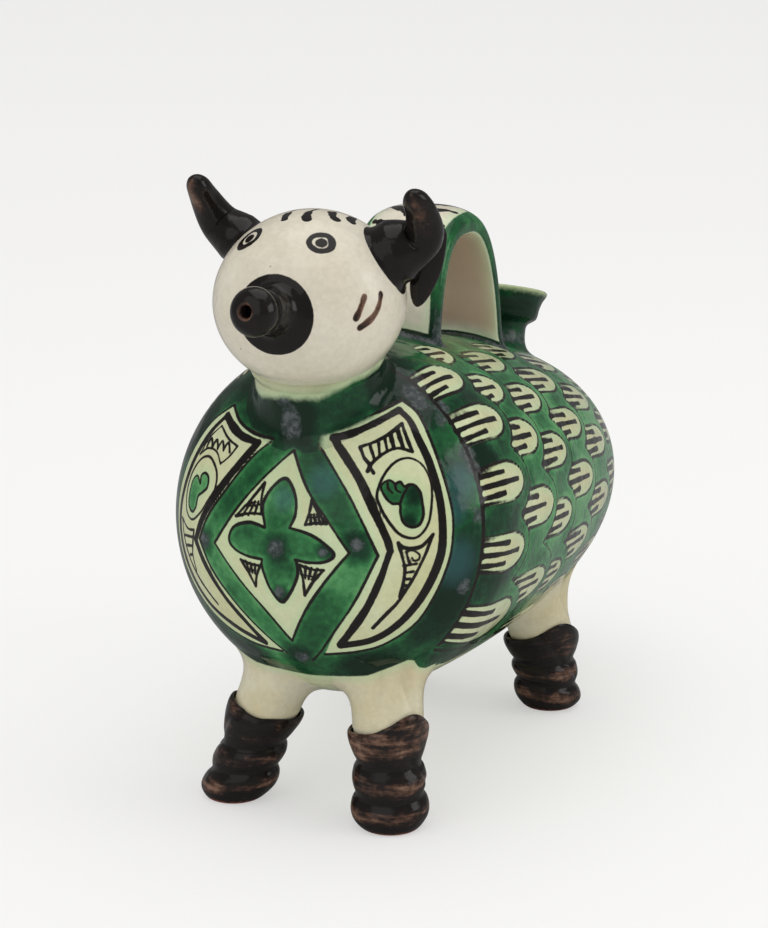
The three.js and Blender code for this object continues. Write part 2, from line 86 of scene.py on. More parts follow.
turn, rise = math.radians(CAMERA_TURN), math.radians(CAMERA_RISE)
level = math.cos(rise)
towards_camera = vec(math.sin(turn) * level, -math.cos(turn) * level, math.sin(rise))
camera_right = vec(math.cos(turn), math.sin(turn), 0)
camera_up = np.cross(towards_camera, camera_right)
camera_place = (CAMERA_AIM + CAMERA_AWAY * towards_camera + vec(0, MIDDLE_Y, 0)) * MM

camera = bpy.data.objects.new("camera", bpy.data.cameras.new("camera"))
scene.collection.objects.link(camera)
basis = Matrix(np.column_stack([camera_right, camera_up, towards_camera]).tolist())
camera.matrix_world = Matrix.Translation(camera_place.tolist()) @ basis.to_4x4()
camera.data.sensor_width = SENSOR
camera.data.lens = LENS_LENGTH / PICTURE_HEIGHT * SENSOR
camera.data.shift_x = (PICTURE_WIDTH / 2 - PICTURE_MIDDLE[0]) / PICTURE_HEIGHT
camera.data.shift_y = (PICTURE_MIDDLE[1] - PICTURE_HEIGHT / 2) / PICTURE_HEIGHT
camera.data.clip_start = 0.05
camera.data.clip_end = 60
scene.camera = camera
scene.view_settings.view_transform = "Standard"
print("lens", round(camera.data.lens, 1), "mm")

# %% [markdown]
# ## Light
# Glazed pottery mirrors its surroundings, so it is lit as in a studio tent: one wide softbox
# overhead, one ahead of the chest and one on the bull's left, each given by its place, the point
# that it aims at, its width and height in metres, and its power in watts.

# %% Softboxes
def softbox(name, place, aim, width, height, watts):
    lamp = bpy.data.lights.new(name, "AREA")
    lamp.shape = "RECTANGLE"
    lamp.size, lamp.size_y, lamp.energy = width, height, watts
    made = bpy.data.objects.new(name, lamp)
    scene.collection.objects.link(made)
    back = unit(vec(*place) - vec(*aim))
    side = unit(np.cross(vec(0, 0.02, 1), back))
    axes = Matrix(np.column_stack([side, np.cross(back, side), back]).tolist())
    made.matrix_world = Matrix.Translation(place) @ axes.to_4x4()


softbox("softbox_overhead", (0.1, 0.1, 1.5), (0, 0, 0.1), 1.5, 1.5, 6.5)
softbox("softbox_ahead", (-0.25, -1.5, 0.95), (0, 0, 0.12), 1.7, 1.7, 4.5)
softbox("softbox_left", (1.7, 0.3, 0.8), (0, 0, 0.12), 0.9, 1.0, 5)
print("lamps:", len(bpy.data.lights))

# %% [markdown]
# ## Node helpers
# Materials are built from small nodes. One helper adds a node, sets its values and joins its
# inputs in one call, which keeps each recipe short enough to read as a recipe.

# %% Node helpers
def join(tree, socket, value):
    if isinstance(value, bpy.types.NodeSocket):
        tree.links.new(value, socket)
    else:
        socket.default_value = value


def node(tree, kind, *values, settings=None, **named):
    made = tree.nodes.new("ShaderNode" + kind)
    for name, value in (settings or {}).items():
        setattr(made, name, value)
    for place, value in enumerate(values):
        if value is not None:
            join(tree, made.inputs[place], value)
    for name, value in named.items():
        join(tree, made.inputs[name.replace("_", " ")], value)
    return made


def maths(tree, operation, *values, clamp=False):
    settings = {"operation": operation, "use_clamp": clamp}
    return node(tree, "Math", *values, settings=settings).outputs[0]


def mixed(tree, share, first, second, blend="MIX"):
    made = node(tree, "Mix", settings={"data_type": "RGBA", "blend_type": blend})
    join(tree, made.inputs[0], share)
    join(tree, made.inputs[6], first)
    join(tree, made.inputs[7], second)
    return made.outputs[2]


def stretched(tree, value, low, high, to_low=0.0, to_high=1.0):
    settings = {"interpolation_type": "SMOOTHSTEP"}
    made = node(tree, "MapRange", value, low, high, to_low, to_high, settings=settings)
    return made.outputs[0]


def noise(tree, where, scale, detail=2.0, rough=0.5):
    made = node(tree, "TexNoise", Vector=where, Scale=scale, Detail=detail, Roughness=rough)
    return made.outputs["Fac"]


def group(name, inputs, outputs):
    """A new node group with its inputs (name: value) and outputs (name: kind)."""
    tree = bpy.data.node_groups.new(name, "ShaderNodeTree")
    for label, value in inputs.items():
        kind = "NodeSocketColor" if isinstance(value, tuple) else "NodeSocketFloat"
        tree.interface.new_socket(label, in_out="INPUT", socket_type=kind).default_value = value
    for label, kind in outputs.items():
        tree.interface.new_socket(label, in_out="OUTPUT", socket_type="NodeSocket" + kind)
    return tree, tree.nodes.new("NodeGroupInput").outputs, tree.nodes.new("NodeGroupOutput").inputs


def use(tree, made, **named):
    """Places a node group in a tree and returns its outputs."""
    placed = tree.nodes.new("ShaderNodeGroup")
    placed.node_tree = made
    for name, value in named.items():
        join(tree, placed.inputs[name.replace("_", " ")], value)
    return placed.outputs


# %% [markdown]
# The softboxes stand in a pale world, as in a tent. A real tent has dark gaps, which the glaze
# mirrors and which keep its blacks black, so the world is weaker in mirrored rays. For the camera
# alone it is a little stronger, so that it meets the floor without a line.

# %% World
WORLD_STRENGTH = 0.8
WORLD_MIRRORED = -0.65  # added in mirrored rays
WORLD_SEEN = 0.15  # added for the camera


def colour(red, green, blue):
    """A colour as seen on a screen, 0 to 255, as the linear colour that a shader wants."""
    shares = np.array([red, green, blue]) / 255
    linear = np.where(shares <= 0.04045, shares / 12.92, ((shares + 0.055) / 1.055) ** 2.4)
    return (*linear.tolist(), 1.0)


world = bpy.data.worlds.new("studio")
world.use_nodes = True
scene.world = world
tree = world.node_tree
rays = node(tree, "LightPath").outputs
strength = maths(tree, "MULTIPLY_ADD", rays["Is Glossy Ray"], WORLD_MIRRORED, WORLD_STRENGTH)
strength = maths(tree, "MULTIPLY_ADD", rays["Is Camera Ray"], WORLD_SEEN, strength)
background = tree.nodes["Background"]
background.inputs["Color"].default_value = colour(250, 250, 252)
join(tree, background.inputs["Strength"], strength)
print("world strength for the glaze's mirror:", round(WORLD_STRENGTH + WORLD_MIRRORED, 2))

# %% [markdown]
# ## Effects that several glazes share
# A painted edge is never ruler-straight: the brush wobbles and the oxide bleeds a little into the
# glaze. The pieces carry the distance to each stroke's edge in millimetres, below zero inside the
# stroke, and this group turns that distance into a soft, slightly wobbly mask.

# %% Brushed edge
brushed_edge, given, out = group(
    "brushed_edge", {"Distance": 0.0, "Softness": 0.22, "Wobble": 0.35}, {"Mask": "Float"}
)
place = node(brushed_edge, "TexCoord").outputs["Object"]
wobble = maths(brushed_edge, "SUBTRACT", noise(brushed_edge, place, 620.0, 3.0), 0.5)
wobble = maths(brushed_edge, "MULTIPLY", wobble, given["Wobble"])
distance = maths(brushed_edge, "ADD", given["Distance"], wobble)
outside = maths(brushed_edge, "MULTIPLY", given["Softness"], -1.0)
join(brushed_edge, out["Mask"], stretched(brushed_edge, distance, outside, given["Softness"], 1.0, 0.0))

# %% [markdown]
# Every fired glaze has the same small faults: broad clouds where it lay thicker, a fine grain,
# a few dark iron specks, a hair-thin crackle, and a slow ripple left by the potter's fingers. One
# group makes them all, so that each glaze can take as much of each as it shows.

# %% Fired glaze
fired_glaze, given, out = group(
    "fired_glaze",
    {"Cloud size": 26.0},
    {"Clouds": "Float", "Grain": "Float", "Specks": "Float", "Crackle": "Float", "Ripple": "Float"},
)
place = node(fired_glaze, "TexCoord").outputs["Object"]
join(fired_glaze, out["Clouds"], noise(fired_glaze, place, given["Cloud size"], 3.0, 0.55))
join(fired_glaze, out["Grain"], noise(fired_glaze, place, 420.0, 4.0, 0.6))
dots = node(fired_glaze, "TexVoronoi", Vector=place, Scale=95.0).outputs["Distance"]
rare = noise(fired_glaze, place, 38.0, 1.0)
speck = maths(fired_glaze, "MULTIPLY", stretched(fired_glaze, dots, 0.02, 0.05, 1.0, 0.0),
              stretched(fired_glaze, rare, 0.6, 0.66))
join(fired_glaze, out["Specks"], speck)
cells = node(fired_glaze, "TexVoronoi", settings={"feature": "DISTANCE_TO_EDGE"},
             Vector=place, Scale=210.0).outputs["Distance"]
join(fired_glaze, out["Crackle"], stretched(fired_glaze, cells, 0.0, 0.05, 1.0, 0.0))
ripple = maths(fired_glaze, "ADD", noise(fired_glaze, place, 55.0, 2.0),
               maths(fired_glaze, "MULTIPLY", noise(fired_glaze, place, 190.0, 2.0), 0.22))
join(fired_glaze, out["Ripple"], ripple)

# %% [markdown]
# Copper green is the most lively colour on the pitcher. It runs thin and bright beside the black
# lines, which hold it back, pools dark in the middle of a brush stroke, and where it lay thickest
# it has gone metallic grey. A faint blue tint lies on some crests. It is partly the copper's own
# blooming and partly a painted sheen, where the softboxes would be mirrored.

# %% Copper green
copper_green, given, out = group(
    "copper_green",
    {"Ink distance": 3.0, "Pool": 0.0, "Metal": 0.0, "Bloomsheen": 0.0},
    {"Color": "Color"},
)
glaze = use(copper_green, fired_glaze, Cloud_size=42.0)
clouds = stretched(copper_green, glaze["Clouds"], 0.3, 0.7, 0.0, 0.55)
depth = maths(copper_green, "ADD", clouds, -0.3)
depth = maths(copper_green, "ADD", depth, given["Pool"])
grain = maths(copper_green, "SUBTRACT", glaze["Grain"], 0.5)
depth = maths(copper_green, "ADD", depth, maths(copper_green, "MULTIPLY", grain, 0.55))
thin = stretched(copper_green, given["Ink distance"], 0.3, 2.2, 0.16, 0.0)
depth = maths(copper_green, "SUBTRACT", depth, thin)
ramp = node(copper_green, "ValToRGB", stretched(copper_green, depth, -0.75, 0.85))
for stop, shade in zip(ramp.color_ramp.elements, (colour(100, 160, 102), colour(14, 38, 24))):
    stop.color = shade
for at, shade in ((0.3, colour(56, 120, 70)), (0.55, colour(34, 88, 50)), (0.8, colour(22, 60, 37))):
    ramp.color_ramp.elements.new(at).color = shade
# a blue-teal tint: the copper's blooming together with a painted sheen of mirrored softboxes
bloomsheen = maths(copper_green, "MULTIPLY", given["Bloomsheen"], 0.32)
green = mixed(copper_green, bloomsheen, ramp.outputs[0], colour(66, 112, 118))
flakes = stretched(copper_green, glaze["Grain"], 0.42, 0.62)
gone = stretched(copper_green, maths(copper_green, "ADD", given["Metal"], glaze["Grain"]), 0.72, 1.0)
metal = maths(copper_green, "MULTIPLY", given["Metal"], gone)
grey = mixed(copper_green, flakes, colour(52, 60, 60), colour(90, 95, 96))
join(copper_green, out["Color"], mixed(copper_green, metal, green, grey))

# %% [markdown]
# Manganese gives the black. It is nearly black where it is thick and a warm, worn brown where the
# brush left it thin, on crests and edges, with streaks along the stroke.

# %% Manganese black
manganese_black, given, out = group("manganese_black", {"Thin": 0.0}, {"Color": "Color"})
glaze = use(manganese_black, fired_glaze, Cloud_size=70.0)
patchy = given["Thin"]
for fault, much in (("Clouds", 1.5), ("Grain", 0.9)):
    change = maths(manganese_black, "SUBTRACT", glaze[fault], 0.5)
    change = maths(manganese_black, "MULTIPLY", change, much)
    patchy = maths(manganese_black, "ADD", patchy, change)
ramp = node(manganese_black, "ValToRGB", stretched(manganese_black, patchy, 0.1, 1.5))
ramp.color_ramp.elements[0].color = colour(27, 24, 22)
ramp.color_ramp.elements[1].color = colour(134, 104, 86)
for at, shade in ((0.3, colour(36, 29, 26)), (0.62, colour(80, 58, 47))):
    ramp.color_ramp.elements.new(at).color = shade
join(manganese_black, out["Color"], ramp.outputs[0])
print("node groups:", [g.name for g in bpy.data.node_groups])

# %% [markdown]
# ## The glazes
# One recipe serves every painted piece, since the whole pitcher was dipped in one glaze and
# painted with two oxides. It starts from the ground colour, lays the green where the piece's
# "green" attribute says, and the black strokes of its "ink" attribute on top. Gloss, the colour of
# the ground and which attributes a piece has are the only things that differ.

# %% Glaze recipe
def reading(tree, name):
    """A number that a piece carries on its vertices."""
    settings = {"attribute_name": name, "attribute_type": "GEOMETRY"}
    return node(tree, "Attribute", settings=settings).outputs["Fac"]


def new_material(name):
    """A new material and its node tree."""
    made = bpy.data.materials.new(name)
    made.use_nodes = True
    return made, made.node_tree


def set_shader(tree, **values):
    """Sets or joins inputs of the material's shader, by name."""
    for name, value in values.items():
        join(tree, tree.nodes["Principled BSDF"].inputs[name.replace("_", " ")], value)


def finish_glaze(tree, glaze, base, rough, bump, mirror=0.33):
    """The shader itself: glossy, with the glaze's own ripple as a fine bump."""
    height = maths(tree, "ADD", glaze["Ripple"], maths(tree, "MULTIPLY", glaze["Grain"], 0.035))
    lifted = node(tree, "Bump", Strength=1.0, Distance=bump, Height=height)
    set_shader(tree, Base_Color=base, Roughness=rough, IOR=1.52, Specular_IOR_Level=mirror,
               Normal=lifted.outputs[0])


def ground_colour(tree, glaze, pale, warm, reach):
    """The undyed glaze: a pale and a warm tone in clouds, with iron specks and faint crackle."""
    clouds = stretched(tree, glaze["Clouds"], 0.5 - reach, 0.5 + reach)
    made = mixed(tree, clouds, warm, pale)
    fine = stretched(tree, glaze["Grain"], 0.3, 0.75, 0.93, 1.02)
    made = mixed(tree, 1.0, made, node(tree, "CombineColor", fine, fine, fine).outputs[0], "MULTIPLY")
    made = mixed(tree, maths(tree, "MULTIPLY", glaze["Crackle"], 0.035), made, colour(120, 98, 70))
    return mixed(tree, maths(tree, "MULTIPLY", glaze["Specks"], 0.8), made, colour(66, 50, 38))


def painted_glaze(name, pale, warm, carries, gloss=0.13, cloud_size=26.0):
    """A painted glaze. carries names the attributes that its piece has."""
    made, tree = new_material(name)
    glaze = use(tree, fired_glaze, Cloud_size=cloud_size)
    base = ground_colour(tree, glaze, pale, warm, 0.22)
    rough = stretched(tree, glaze["Grain"], 0.3, 0.7, gloss - 0.03, gloss + 0.04)
    ink = reading(tree, "ink") if "ink" in carries else None
    # tinge mixes towards a darker, greener cream; on the head it is partly a green tint and partly painted
    # shade on the underside
    if "tinge" in carries:
        base = mixed(tree, reading(tree, "tinge"), base, colour(176, 178, 140))
    if "inside" in carries:
        bare = mixed(tree, glaze["Clouds"], colour(176, 146, 124), colour(216, 194, 170))
        base = mixed(tree, reading(tree, "inside"), base, bare)
    if "green" in carries:
        edge = reading(tree, "green")
        tinge = stretched(tree, edge, 0.2, 5.0, 0.5, 0.0)
        base = mixed(tree, tinge, base, colour(178, 206, 160))
        known = {"Ink distance": ink} if ink else {}
        for socket in ("Pool", "Metal", "Bloomsheen"):
            if socket.lower() in carries:
                known[socket] = reading(tree, socket.lower())
        green = use(tree, copper_green, **known)["Color"]
        soft = 1.7 if "soft" in carries else 0.35
        laid = use(tree, brushed_edge, Distance=edge, Softness=soft, Wobble=soft)["Mask"]
        base = mixed(tree, laid, base, green)
        if "metal" in carries:
            dull = maths(tree, "MULTIPLY", maths(tree, "MULTIPLY", known["Metal"], laid), 0.18)
            rough = maths(tree, "ADD", rough, dull)
    if ink:
        thin = stretched(tree, ink, -0.7, 0.1, -0.1, 0.5)
        if "worn" in carries:
            thin = maths(tree, "ADD", thin, reading(tree, "worn"))
        black = use(tree, manganese_black, Thin=thin)["Color"]
        stroke = use(tree, brushed_edge, Distance=ink, Softness=0.2, Wobble=0.34)["Mask"]
        base = mixed(tree, stroke, base, black)
    finish_glaze(tree, glaze, base, rough, 0.0011)
    return made


cream = colour(223, 216, 198)
belly_glaze = painted_glaze("belly_glaze", colour(206, 211, 172), colour(198, 198, 152),
                            ("ink", "green", "pool", "metal", "bloomsheen"))
head_glaze = painted_glaze("head_glaze", cream, colour(210, 202, 181), ("ink", "worn", "tinge"))
collar_glaze = painted_glaze("collar_glaze", colour(188, 191, 156), colour(162, 168, 130),
                             ("ink", "green", "pool", "metal", "soft"))
leg_glaze = painted_glaze("leg_glaze", colour(220, 217, 194), colour(207, 196, 160),
                          ("ink", "green", "pool", "metal"), cloud_size=34.0)
handle_glaze = painted_glaze("handle_glaze", cream, colour(214, 208, 184),
                             ("ink", "green", "inside", "pool", "metal"))
filler_glaze = painted_glaze("filler_glaze", colour(196, 204, 160), colour(168, 160, 118),
                             ("green", "pool", "metal", "soft"))

# %% [markdown]
# The black pieces were dipped in manganese alone. Where a piece has an attribute "thin", the
# glaze has worn or run off to a streaky brown there: the crests of the boots, the scoops of the
# horns and the rim of the pouring hole. On the muzzle's bulb it also holds a small painted
# highlight, laid in as that brown. The soles' edges are bare, red clay.

# %% Black glazes
def black_glaze(name, bare_clay=False, gloss=0.12):
    """The black dip. bare_clay adds streaks, and the sole's edge from the attribute "bare"."""
    made, tree = new_material(name)
    glaze = use(tree, fired_glaze, Cloud_size=48.0)
    thin = reading(tree, "thin")
    if bare_clay:
        place = node(tree, "TexCoord").outputs["Object"]
        level = node(tree, "VectorMath", place, (1.0, 1.0, 6.0), settings={"operation": "MULTIPLY"})
        streak = maths(tree, "SUBTRACT", noise(tree, level.outputs[0], 70.0, 4.0, 0.65), 0.5)
        thin = maths(tree, "MULTIPLY_ADD", streak, 1.9, thin)
    base = use(tree, manganese_black, Thin=thin)["Color"]
    rough = stretched(tree, glaze["Grain"], 0.3, 0.75, gloss, gloss + 0.09)
    if bare_clay:
        clay = mixed(tree, glaze["Grain"], colour(118, 62, 46), colour(158, 92, 68))
        bare = reading(tree, "bare")
        laid = use(tree, brushed_edge, Distance=bare, Softness=0.5, Wobble=2.2)["Mask"]
        base = mixed(tree, laid, base, clay)
        rough = maths(tree, "ADD", rough, maths(tree, "MULTIPLY", laid, 0.45))
    finish_glaze(tree, glaze, base, rough, 0.0013, mirror=0.3)
    return made


horn_glaze = black_glaze("horn_glaze")
boot_glaze = black_glaze("boot_glaze", bare_clay=True, gloss=0.15)

lining_glaze, tree = new_material("lining_glaze")
glaze = use(tree, fired_glaze, Cloud_size=30.0)
base = ground_colour(tree, glaze, colour(190, 176, 150), colour(150, 128, 100), 0.25)
finish_glaze(tree, glaze, base, stretched(tree, glaze["Grain"], 0.3, 0.7, 0.3, 0.45), 0.0009)
print("glazes:", len(bpy.data.materials))

# %% [markdown]
# ## The floor
# The floor is one large sheet of plain, matt paper: all it does is to take the shadow and to throw
# a little light back under the belly. A studio lights its backdrop apart, from below and behind,
# which also thins the shadow. A glow of the sheet, seen by the camera alone, does both.

# %% Floor
SHEET_SEEN = (180, 179, 177)  # its colour as the camera sees it, beside its glow
SHEET_MIRRORED = (150, 150, 150)  # and as the glaze mirrors it
SHEET_GLOW = 0.475
BACKDROP_GLOW = 0.52
SHEET_HALF = 15  # metres from its middle to its edge

floor_sheet, tree = new_material("floor_sheet")
place = node(tree, "TexCoord").outputs["Object"]
rays = node(tree, "LightPath").outputs
seen = rays["Is Camera Ray"]
paper = mixed(tree, noise(tree, place, 6.0, 3.0), colour(233, 233, 232), colour(236, 236, 235))
lit = mixed(tree, rays["Is Glossy Ray"], paper, colour(*SHEET_MIRRORED))
lit = mixed(tree, seen, lit, colour(*SHEET_SEEN))
distance = node(tree, "VectorMath", place, settings={"operation": "LENGTH"}).outputs["Value"]
glow = maths(tree, "MULTIPLY", stretched(tree, distance, 0.2, 2.2, SHEET_GLOW, BACKDROP_GLOW), seen)
set_shader(tree, Base_Color=lit, Roughness=0.85, Specular_IOR_Level=0.1,
           Emission_Color=colour(253, 253, 252), Emission_Strength=glow)

bm = bmesh.new()
bmesh.ops.create_grid(bm, x_segments=1, y_segments=1, size=SHEET_HALF)
mesh = bpy.data.meshes.new("floor")
bm.to_mesh(mesh)
bm.free()
floor = bpy.data.objects.new("floor", mesh)
floor.data.materials.append(floor_sheet)
scene.collection.objects.link(floor)

# %% [markdown]
# ## One way to form every piece
# Thrown and rolled clay is round, so every piece starts as a round tube. A column of vertices is
# spun once round the upright axis, which gives a tube with a known number of rows and sides, and
# then each vertex is moved to its place by its turn round the tube and its way along it. Rows that
# end in one point are merged there. The seam closes by itself, because the spin merges it.

# %% Tubes
def spun_tube(rows, sides):
    """A tube of radius 1 whose rows stand 1 apart, made by spinning a column of vertices."""
    bm = bmesh.new()
    column = [bm.verts.new((1, 0, row)) for row in range(rows)]
    edges = [bm.edges.new(pair) for pair in zip(column, column[1:])]
    bmesh.ops.spin(bm, geom=column + edges, axis=(0, 0, 1), cent=(0, 0, 0), steps=sides,
                   angle=2 * math.pi, use_merge=True)
    return bm


def placed(bm):
    return np.array([v.co for v in bm.verts], float).reshape(-1, 3)


def put(bm, points):
    for v, point in zip(bm.verts, points.tolist()):
        v.co = point


def formed(rows, sides, shape):
    """A spun tube whose vertices go to shape(turn, row): arrays in, an (n, 3) array out."""
    bm = spun_tube(rows, sides)
    flat = placed(bm)
    turn, row = np.arctan2(flat[:, 1], flat[:, 0]), flat[:, 2].round().astype(int)
    column = (turn / (2 * math.pi) * sides).round().astype(int) % sides
    layer = bm.verts.layers.int.new("place")
    for v, number in zip(bm.verts, (row * sides + column).tolist()):
        v[layer] = number
    put(bm, shape(turn, row))
    bmesh.ops.remove_doubles(bm, verts=bm.verts, dist=1e-4)
    bmesh.ops.recalc_face_normals(bm, faces=bm.faces)
    return bm


def ringed(rings):
    """A tube through given rings: an array of rows by sides by 3, each ring in order round."""
    rings = np.asarray(rings)
    sides = rings.shape[1]

    def shape(turn, row):
        return rings[row, (turn / (2 * math.pi) * sides).round().astype(int) % sides]

    return formed(rings.shape[0], sides, shape)


def in_order(bm, values):
    """Takes values given ring by ring into the order of the vertices."""
    layer = bm.verts.layers.int["place"]
    return np.asarray(values).reshape(-1)[[v[layer] for v in bm.verts]]


# %% [markdown]
# A piece is kept by turning it into metres, giving it its glaze, hanging it on the body of the pitcher
# and hiding the imported pieces that it stands for.

# %% Keeping a piece
kept = []  # how many triangles each piece has


def keep(bm, name, glaze, slot, *stands_for, **carried):
    """Makes the finished object. carried holds one number for each vertex, by name."""
    bm.verts.layers.int.remove(bm.verts.layers.int["place"])
    mesh = bpy.data.meshes.new(name)
    bm.to_mesh(mesh)
    bm.free()
    for label, values in carried.items():
        layer = mesh.attributes.new(label, "FLOAT", "POINT")
        layer.data.foreach_set("value", np.asarray(values, np.float32))
    mesh.transform(Matrix.Scale(MM, 4) @ Matrix.Translation((0, MIDDLE_Y, 0)))
    mesh.polygons.foreach_set("use_smooth", [True] * len(mesh.polygons))
    mesh.materials.append(glaze)
    piece = bpy.data.objects.new(name, mesh)
    scene.collection.objects.link(piece)
    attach(piece, "root")
    if stands_for:
        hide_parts(*stands_for)
    triangles = sum(len(p.vertices) - 2 for p in mesh.polygons)
    kept.append(triangles)
    print(f"{name}: {triangles} triangles")


# %% [markdown]
# ## The two thrown bodies
# The belly is an egg that lies on its side and carries its chest a little higher than its rump.
# The head is a slightly flattened ball. Everything else is stuck onto one of these two, and
# everything painted lies on one of them, so each gets a formula for its surface: how much larger
# or smaller a point must be, seen from the middle, to lie right on it.

# %% Belly surface
BELLY_RADIUS = 70.0
BELLY_CHEST = 58.7
BELLY_RUMP = 222.0
BELLY_RING = -10.3
BELLY_HEIGHT = 112.9
BELLY_PITCH = math.radians(7)
RUMP_FULLNESS = 3.2
RUMP_TAPER = 1.8
belly_along = vec(0, math.cos(BELLY_PITCH), -math.sin(BELLY_PITCH))
belly_lift = vec(0, math.sin(BELLY_PITCH), math.cos(BELLY_PITCH))
belly_middle = vec(0, 0, BELLY_HEIGHT)
ring_middle = belly_middle + BELLY_RING * belly_along


def belly_radius(along):
    from_ring = np.asarray(along, float) - BELLY_RING
    front = np.sqrt(np.clip(1 - (from_ring / BELLY_CHEST) ** 2, 0, 1))
    share = np.clip(from_ring / BELLY_RUMP, 0, 1)
    rear = np.clip(1 - share ** RUMP_TAPER, 0, 1) ** (1 / RUMP_FULLNESS)
    return BELLY_RADIUS * np.where(from_ring < 0, front, rear)


def belly_measures(points):
    """How far along the belly's axis each point lies, and how far aside and above the axis."""
    from_middle = points - belly_middle
    return from_middle @ belly_along, points[..., 0], from_middle @ belly_lift


def belly_growth(points):
    """How much a point would have to grow, seen from the fattest ring's middle."""
    along, aside, above = belly_measures(points)
    reach = along - BELLY_RING
    radius = np.hypot(aside, above)
    front = 1 / np.sqrt(np.maximum((reach / BELLY_CHEST) ** 2 + (radius / BELLY_RADIUS) ** 2, 1e-9))
    length = np.maximum(reach, 0) / BELLY_RUMP
    width = radius / BELLY_RADIUS
    rear = np.minimum(1 / np.maximum(np.maximum(length, width), 1e-6), 50)
    for _ in range(12):
        a, b = (rear * length) ** RUMP_TAPER, (rear * width) ** RUMP_FULLNESS
        rear = rear - (a + b - 1) * rear / np.maximum(RUMP_TAPER * a + RUMP_FULLNESS * b, 1e-9)
    return np.where(reach < 0, front, rear)


def onto_belly(points):
    return ring_middle + (points - ring_middle) * belly_growth(points)[..., None]


def belly_place(along, aside, above):
    return (belly_middle + np.multiply.outer(np.asarray(along, float), belly_along)
            + np.multiply.outer(np.asarray(above, float), belly_lift)
            + np.multiply.outer(np.asarray(aside, float), vec(1, 0, 0)))


# %% [markdown]
# The head's ball is flattened along its own axis, which leans forward with the collar.

# %% Head surface
HEAD_RADIUS = 36.6
HEAD_HALF_HEIGHT = 33.2
HEAD_LEAN = math.radians(15)
head_middle = vec(0, -43.5, 206.3)
head_up = vec(0, -math.sin(HEAD_LEAN), math.cos(HEAD_LEAN))
head_ahead = vec(0, -math.cos(HEAD_LEAN), -math.sin(HEAD_LEAN))


def head_growth(points):
    off = points - head_middle
    across = (off[..., 0] / HEAD_RADIUS) ** 2 + (off @ head_ahead / HEAD_RADIUS) ** 2
    return 1 / np.sqrt(np.maximum(across + (off @ head_up / HEAD_HALF_HEIGHT) ** 2, 1e-9))


def onto_head(points):
    return head_middle + (points - head_middle) * head_growth(points)[..., None]


# %% [markdown]
# ## Sticking clay onto clay
# A limb that is luted on spreads at its root, and the potter smooths that spread into the body.
# From the limb's last ring, each side runs on towards the body, bends outwards and lies down on
# it. A curve with one handle along the limb and one handle along the body makes that fillet. Where
# the body falls away steeply, the side spreads less, so that it still lands.

# %% Fillets
FOOT_SINK = 0.25  # how deep a root's edge goes into the body


def reach_of(growth, starts, direction, farthest=90.0):
    """How far each start runs along the direction before it is inside the body."""
    outside = np.zeros(len(starts))
    inside = np.full(len(starts), farthest)
    for _ in range(26):
        middle = (outside + inside) / 2
        within = growth(starts + middle[:, None] * direction) > 1
        inside = np.where(within, middle, inside)
        outside = np.where(within, outside, middle)
    return inside


def normal_of(growth, points, step=0.05):
    slope = [growth(points - step * axis) - growth(points + step * axis) for axis in np.eye(3)]
    return unit(np.stack(slope, axis=-1))


def fillet(growth, ring, direction, outwards, spread, rows, early=0.55):
    """Rings from a limb's last ring down onto a body. spread may differ for each side."""
    nearest = reach_of(growth, ring, direction)
    spread = np.broadcast_to(np.asarray(spread, float), nearest.shape).copy()
    for _ in range(20):
        farthest = reach_of(growth, ring + outwards * spread[:, None], direction)
        spread = np.where(farthest - nearest > spread, spread * 0.85, spread)
    foot = ring + outwards * spread[:, None] + direction * farthest[:, None]
    normal = normal_of(growth, foot)
    along = unit(outwards - (outwards * normal).sum(1)[:, None] * normal)
    length = np.linalg.norm(foot - ring, axis=1)[:, None]
    first = ring + direction * length * early
    second = foot - along * length * 0.45
    foot = foot - normal * FOOT_SINK
    share = np.linspace(0, 1, rows + 1)[1:, None, None]
    rest = 1 - share
    return (rest ** 3 * ring + 3 * rest ** 2 * share * first
            + 3 * rest * share ** 2 * second + share ** 3 * foot)


def turns_of(sides):
    return np.arange(sides) * 2 * math.pi / sides


def round_ring(middle, across, forward, radius, sides):
    """A ring of points round a middle, and the outward direction at each of them."""
    turn = turns_of(sides)[:, None]
    outwards = np.cos(turn) * across + np.sin(turn) * forward
    return middle + outwards * radius, outwards


# %% [markdown]
# ## Brushwork
# The painter's strokes are kept as lines on the clay: a few points through which the brush went,
# the width of the brush, and how the points lie on the piece. For each vertex the distance to the
# nearest stroke's edge is measured, and the glaze turns it into paint. Distances change evenly
# from vertex to vertex, so a stroke comes out clean even where it is hardly wider than the mesh.

# %% Brush strokes
FARTHEST = 6.0  # past this many millimetres a stroke no longer matters


def smooth_line(points, steps=7, closed=False):
    """A line that runs smoothly through all its points."""
    p = np.asarray(points, float)
    if len(p) < 3:
        return np.linspace(p[0], p[-1], 2 * steps)
    if closed:
        ends = np.vstack([p[-1:], p, p[:2]])
    else:
        ends = np.vstack([2 * p[:1] - p[1:2], p, 2 * p[-1:] - p[-2:-1]])
    share = np.linspace(0, 1, steps, endpoint=False)[:, None]
    parts = []
    for a, b, c, d in zip(ends, ends[1:], ends[2:], ends[3:]):
        parts.append(0.5 * (2 * b + (c - a) * share + (2 * a - 5 * b + 4 * c - d) * share ** 2
                            + (3 * b - a - 3 * c + d) * share ** 3))
    parts.append(ends[-2:-1])
    return np.vstack(parts)


def straight_line(points, step=2.5):
    """The same points joined by straight brush strokes."""
    parts = []
    for a, b in zip(points, points[1:]):
        a, b = np.asarray(a, float), np.asarray(b, float)
        count = max(2, int(np.linalg.norm(b - a) / step) + 1)
        parts.append(np.linspace(a, b, count, endpoint=False))
    return np.vstack(parts + [np.asarray(points[-1:], float)])


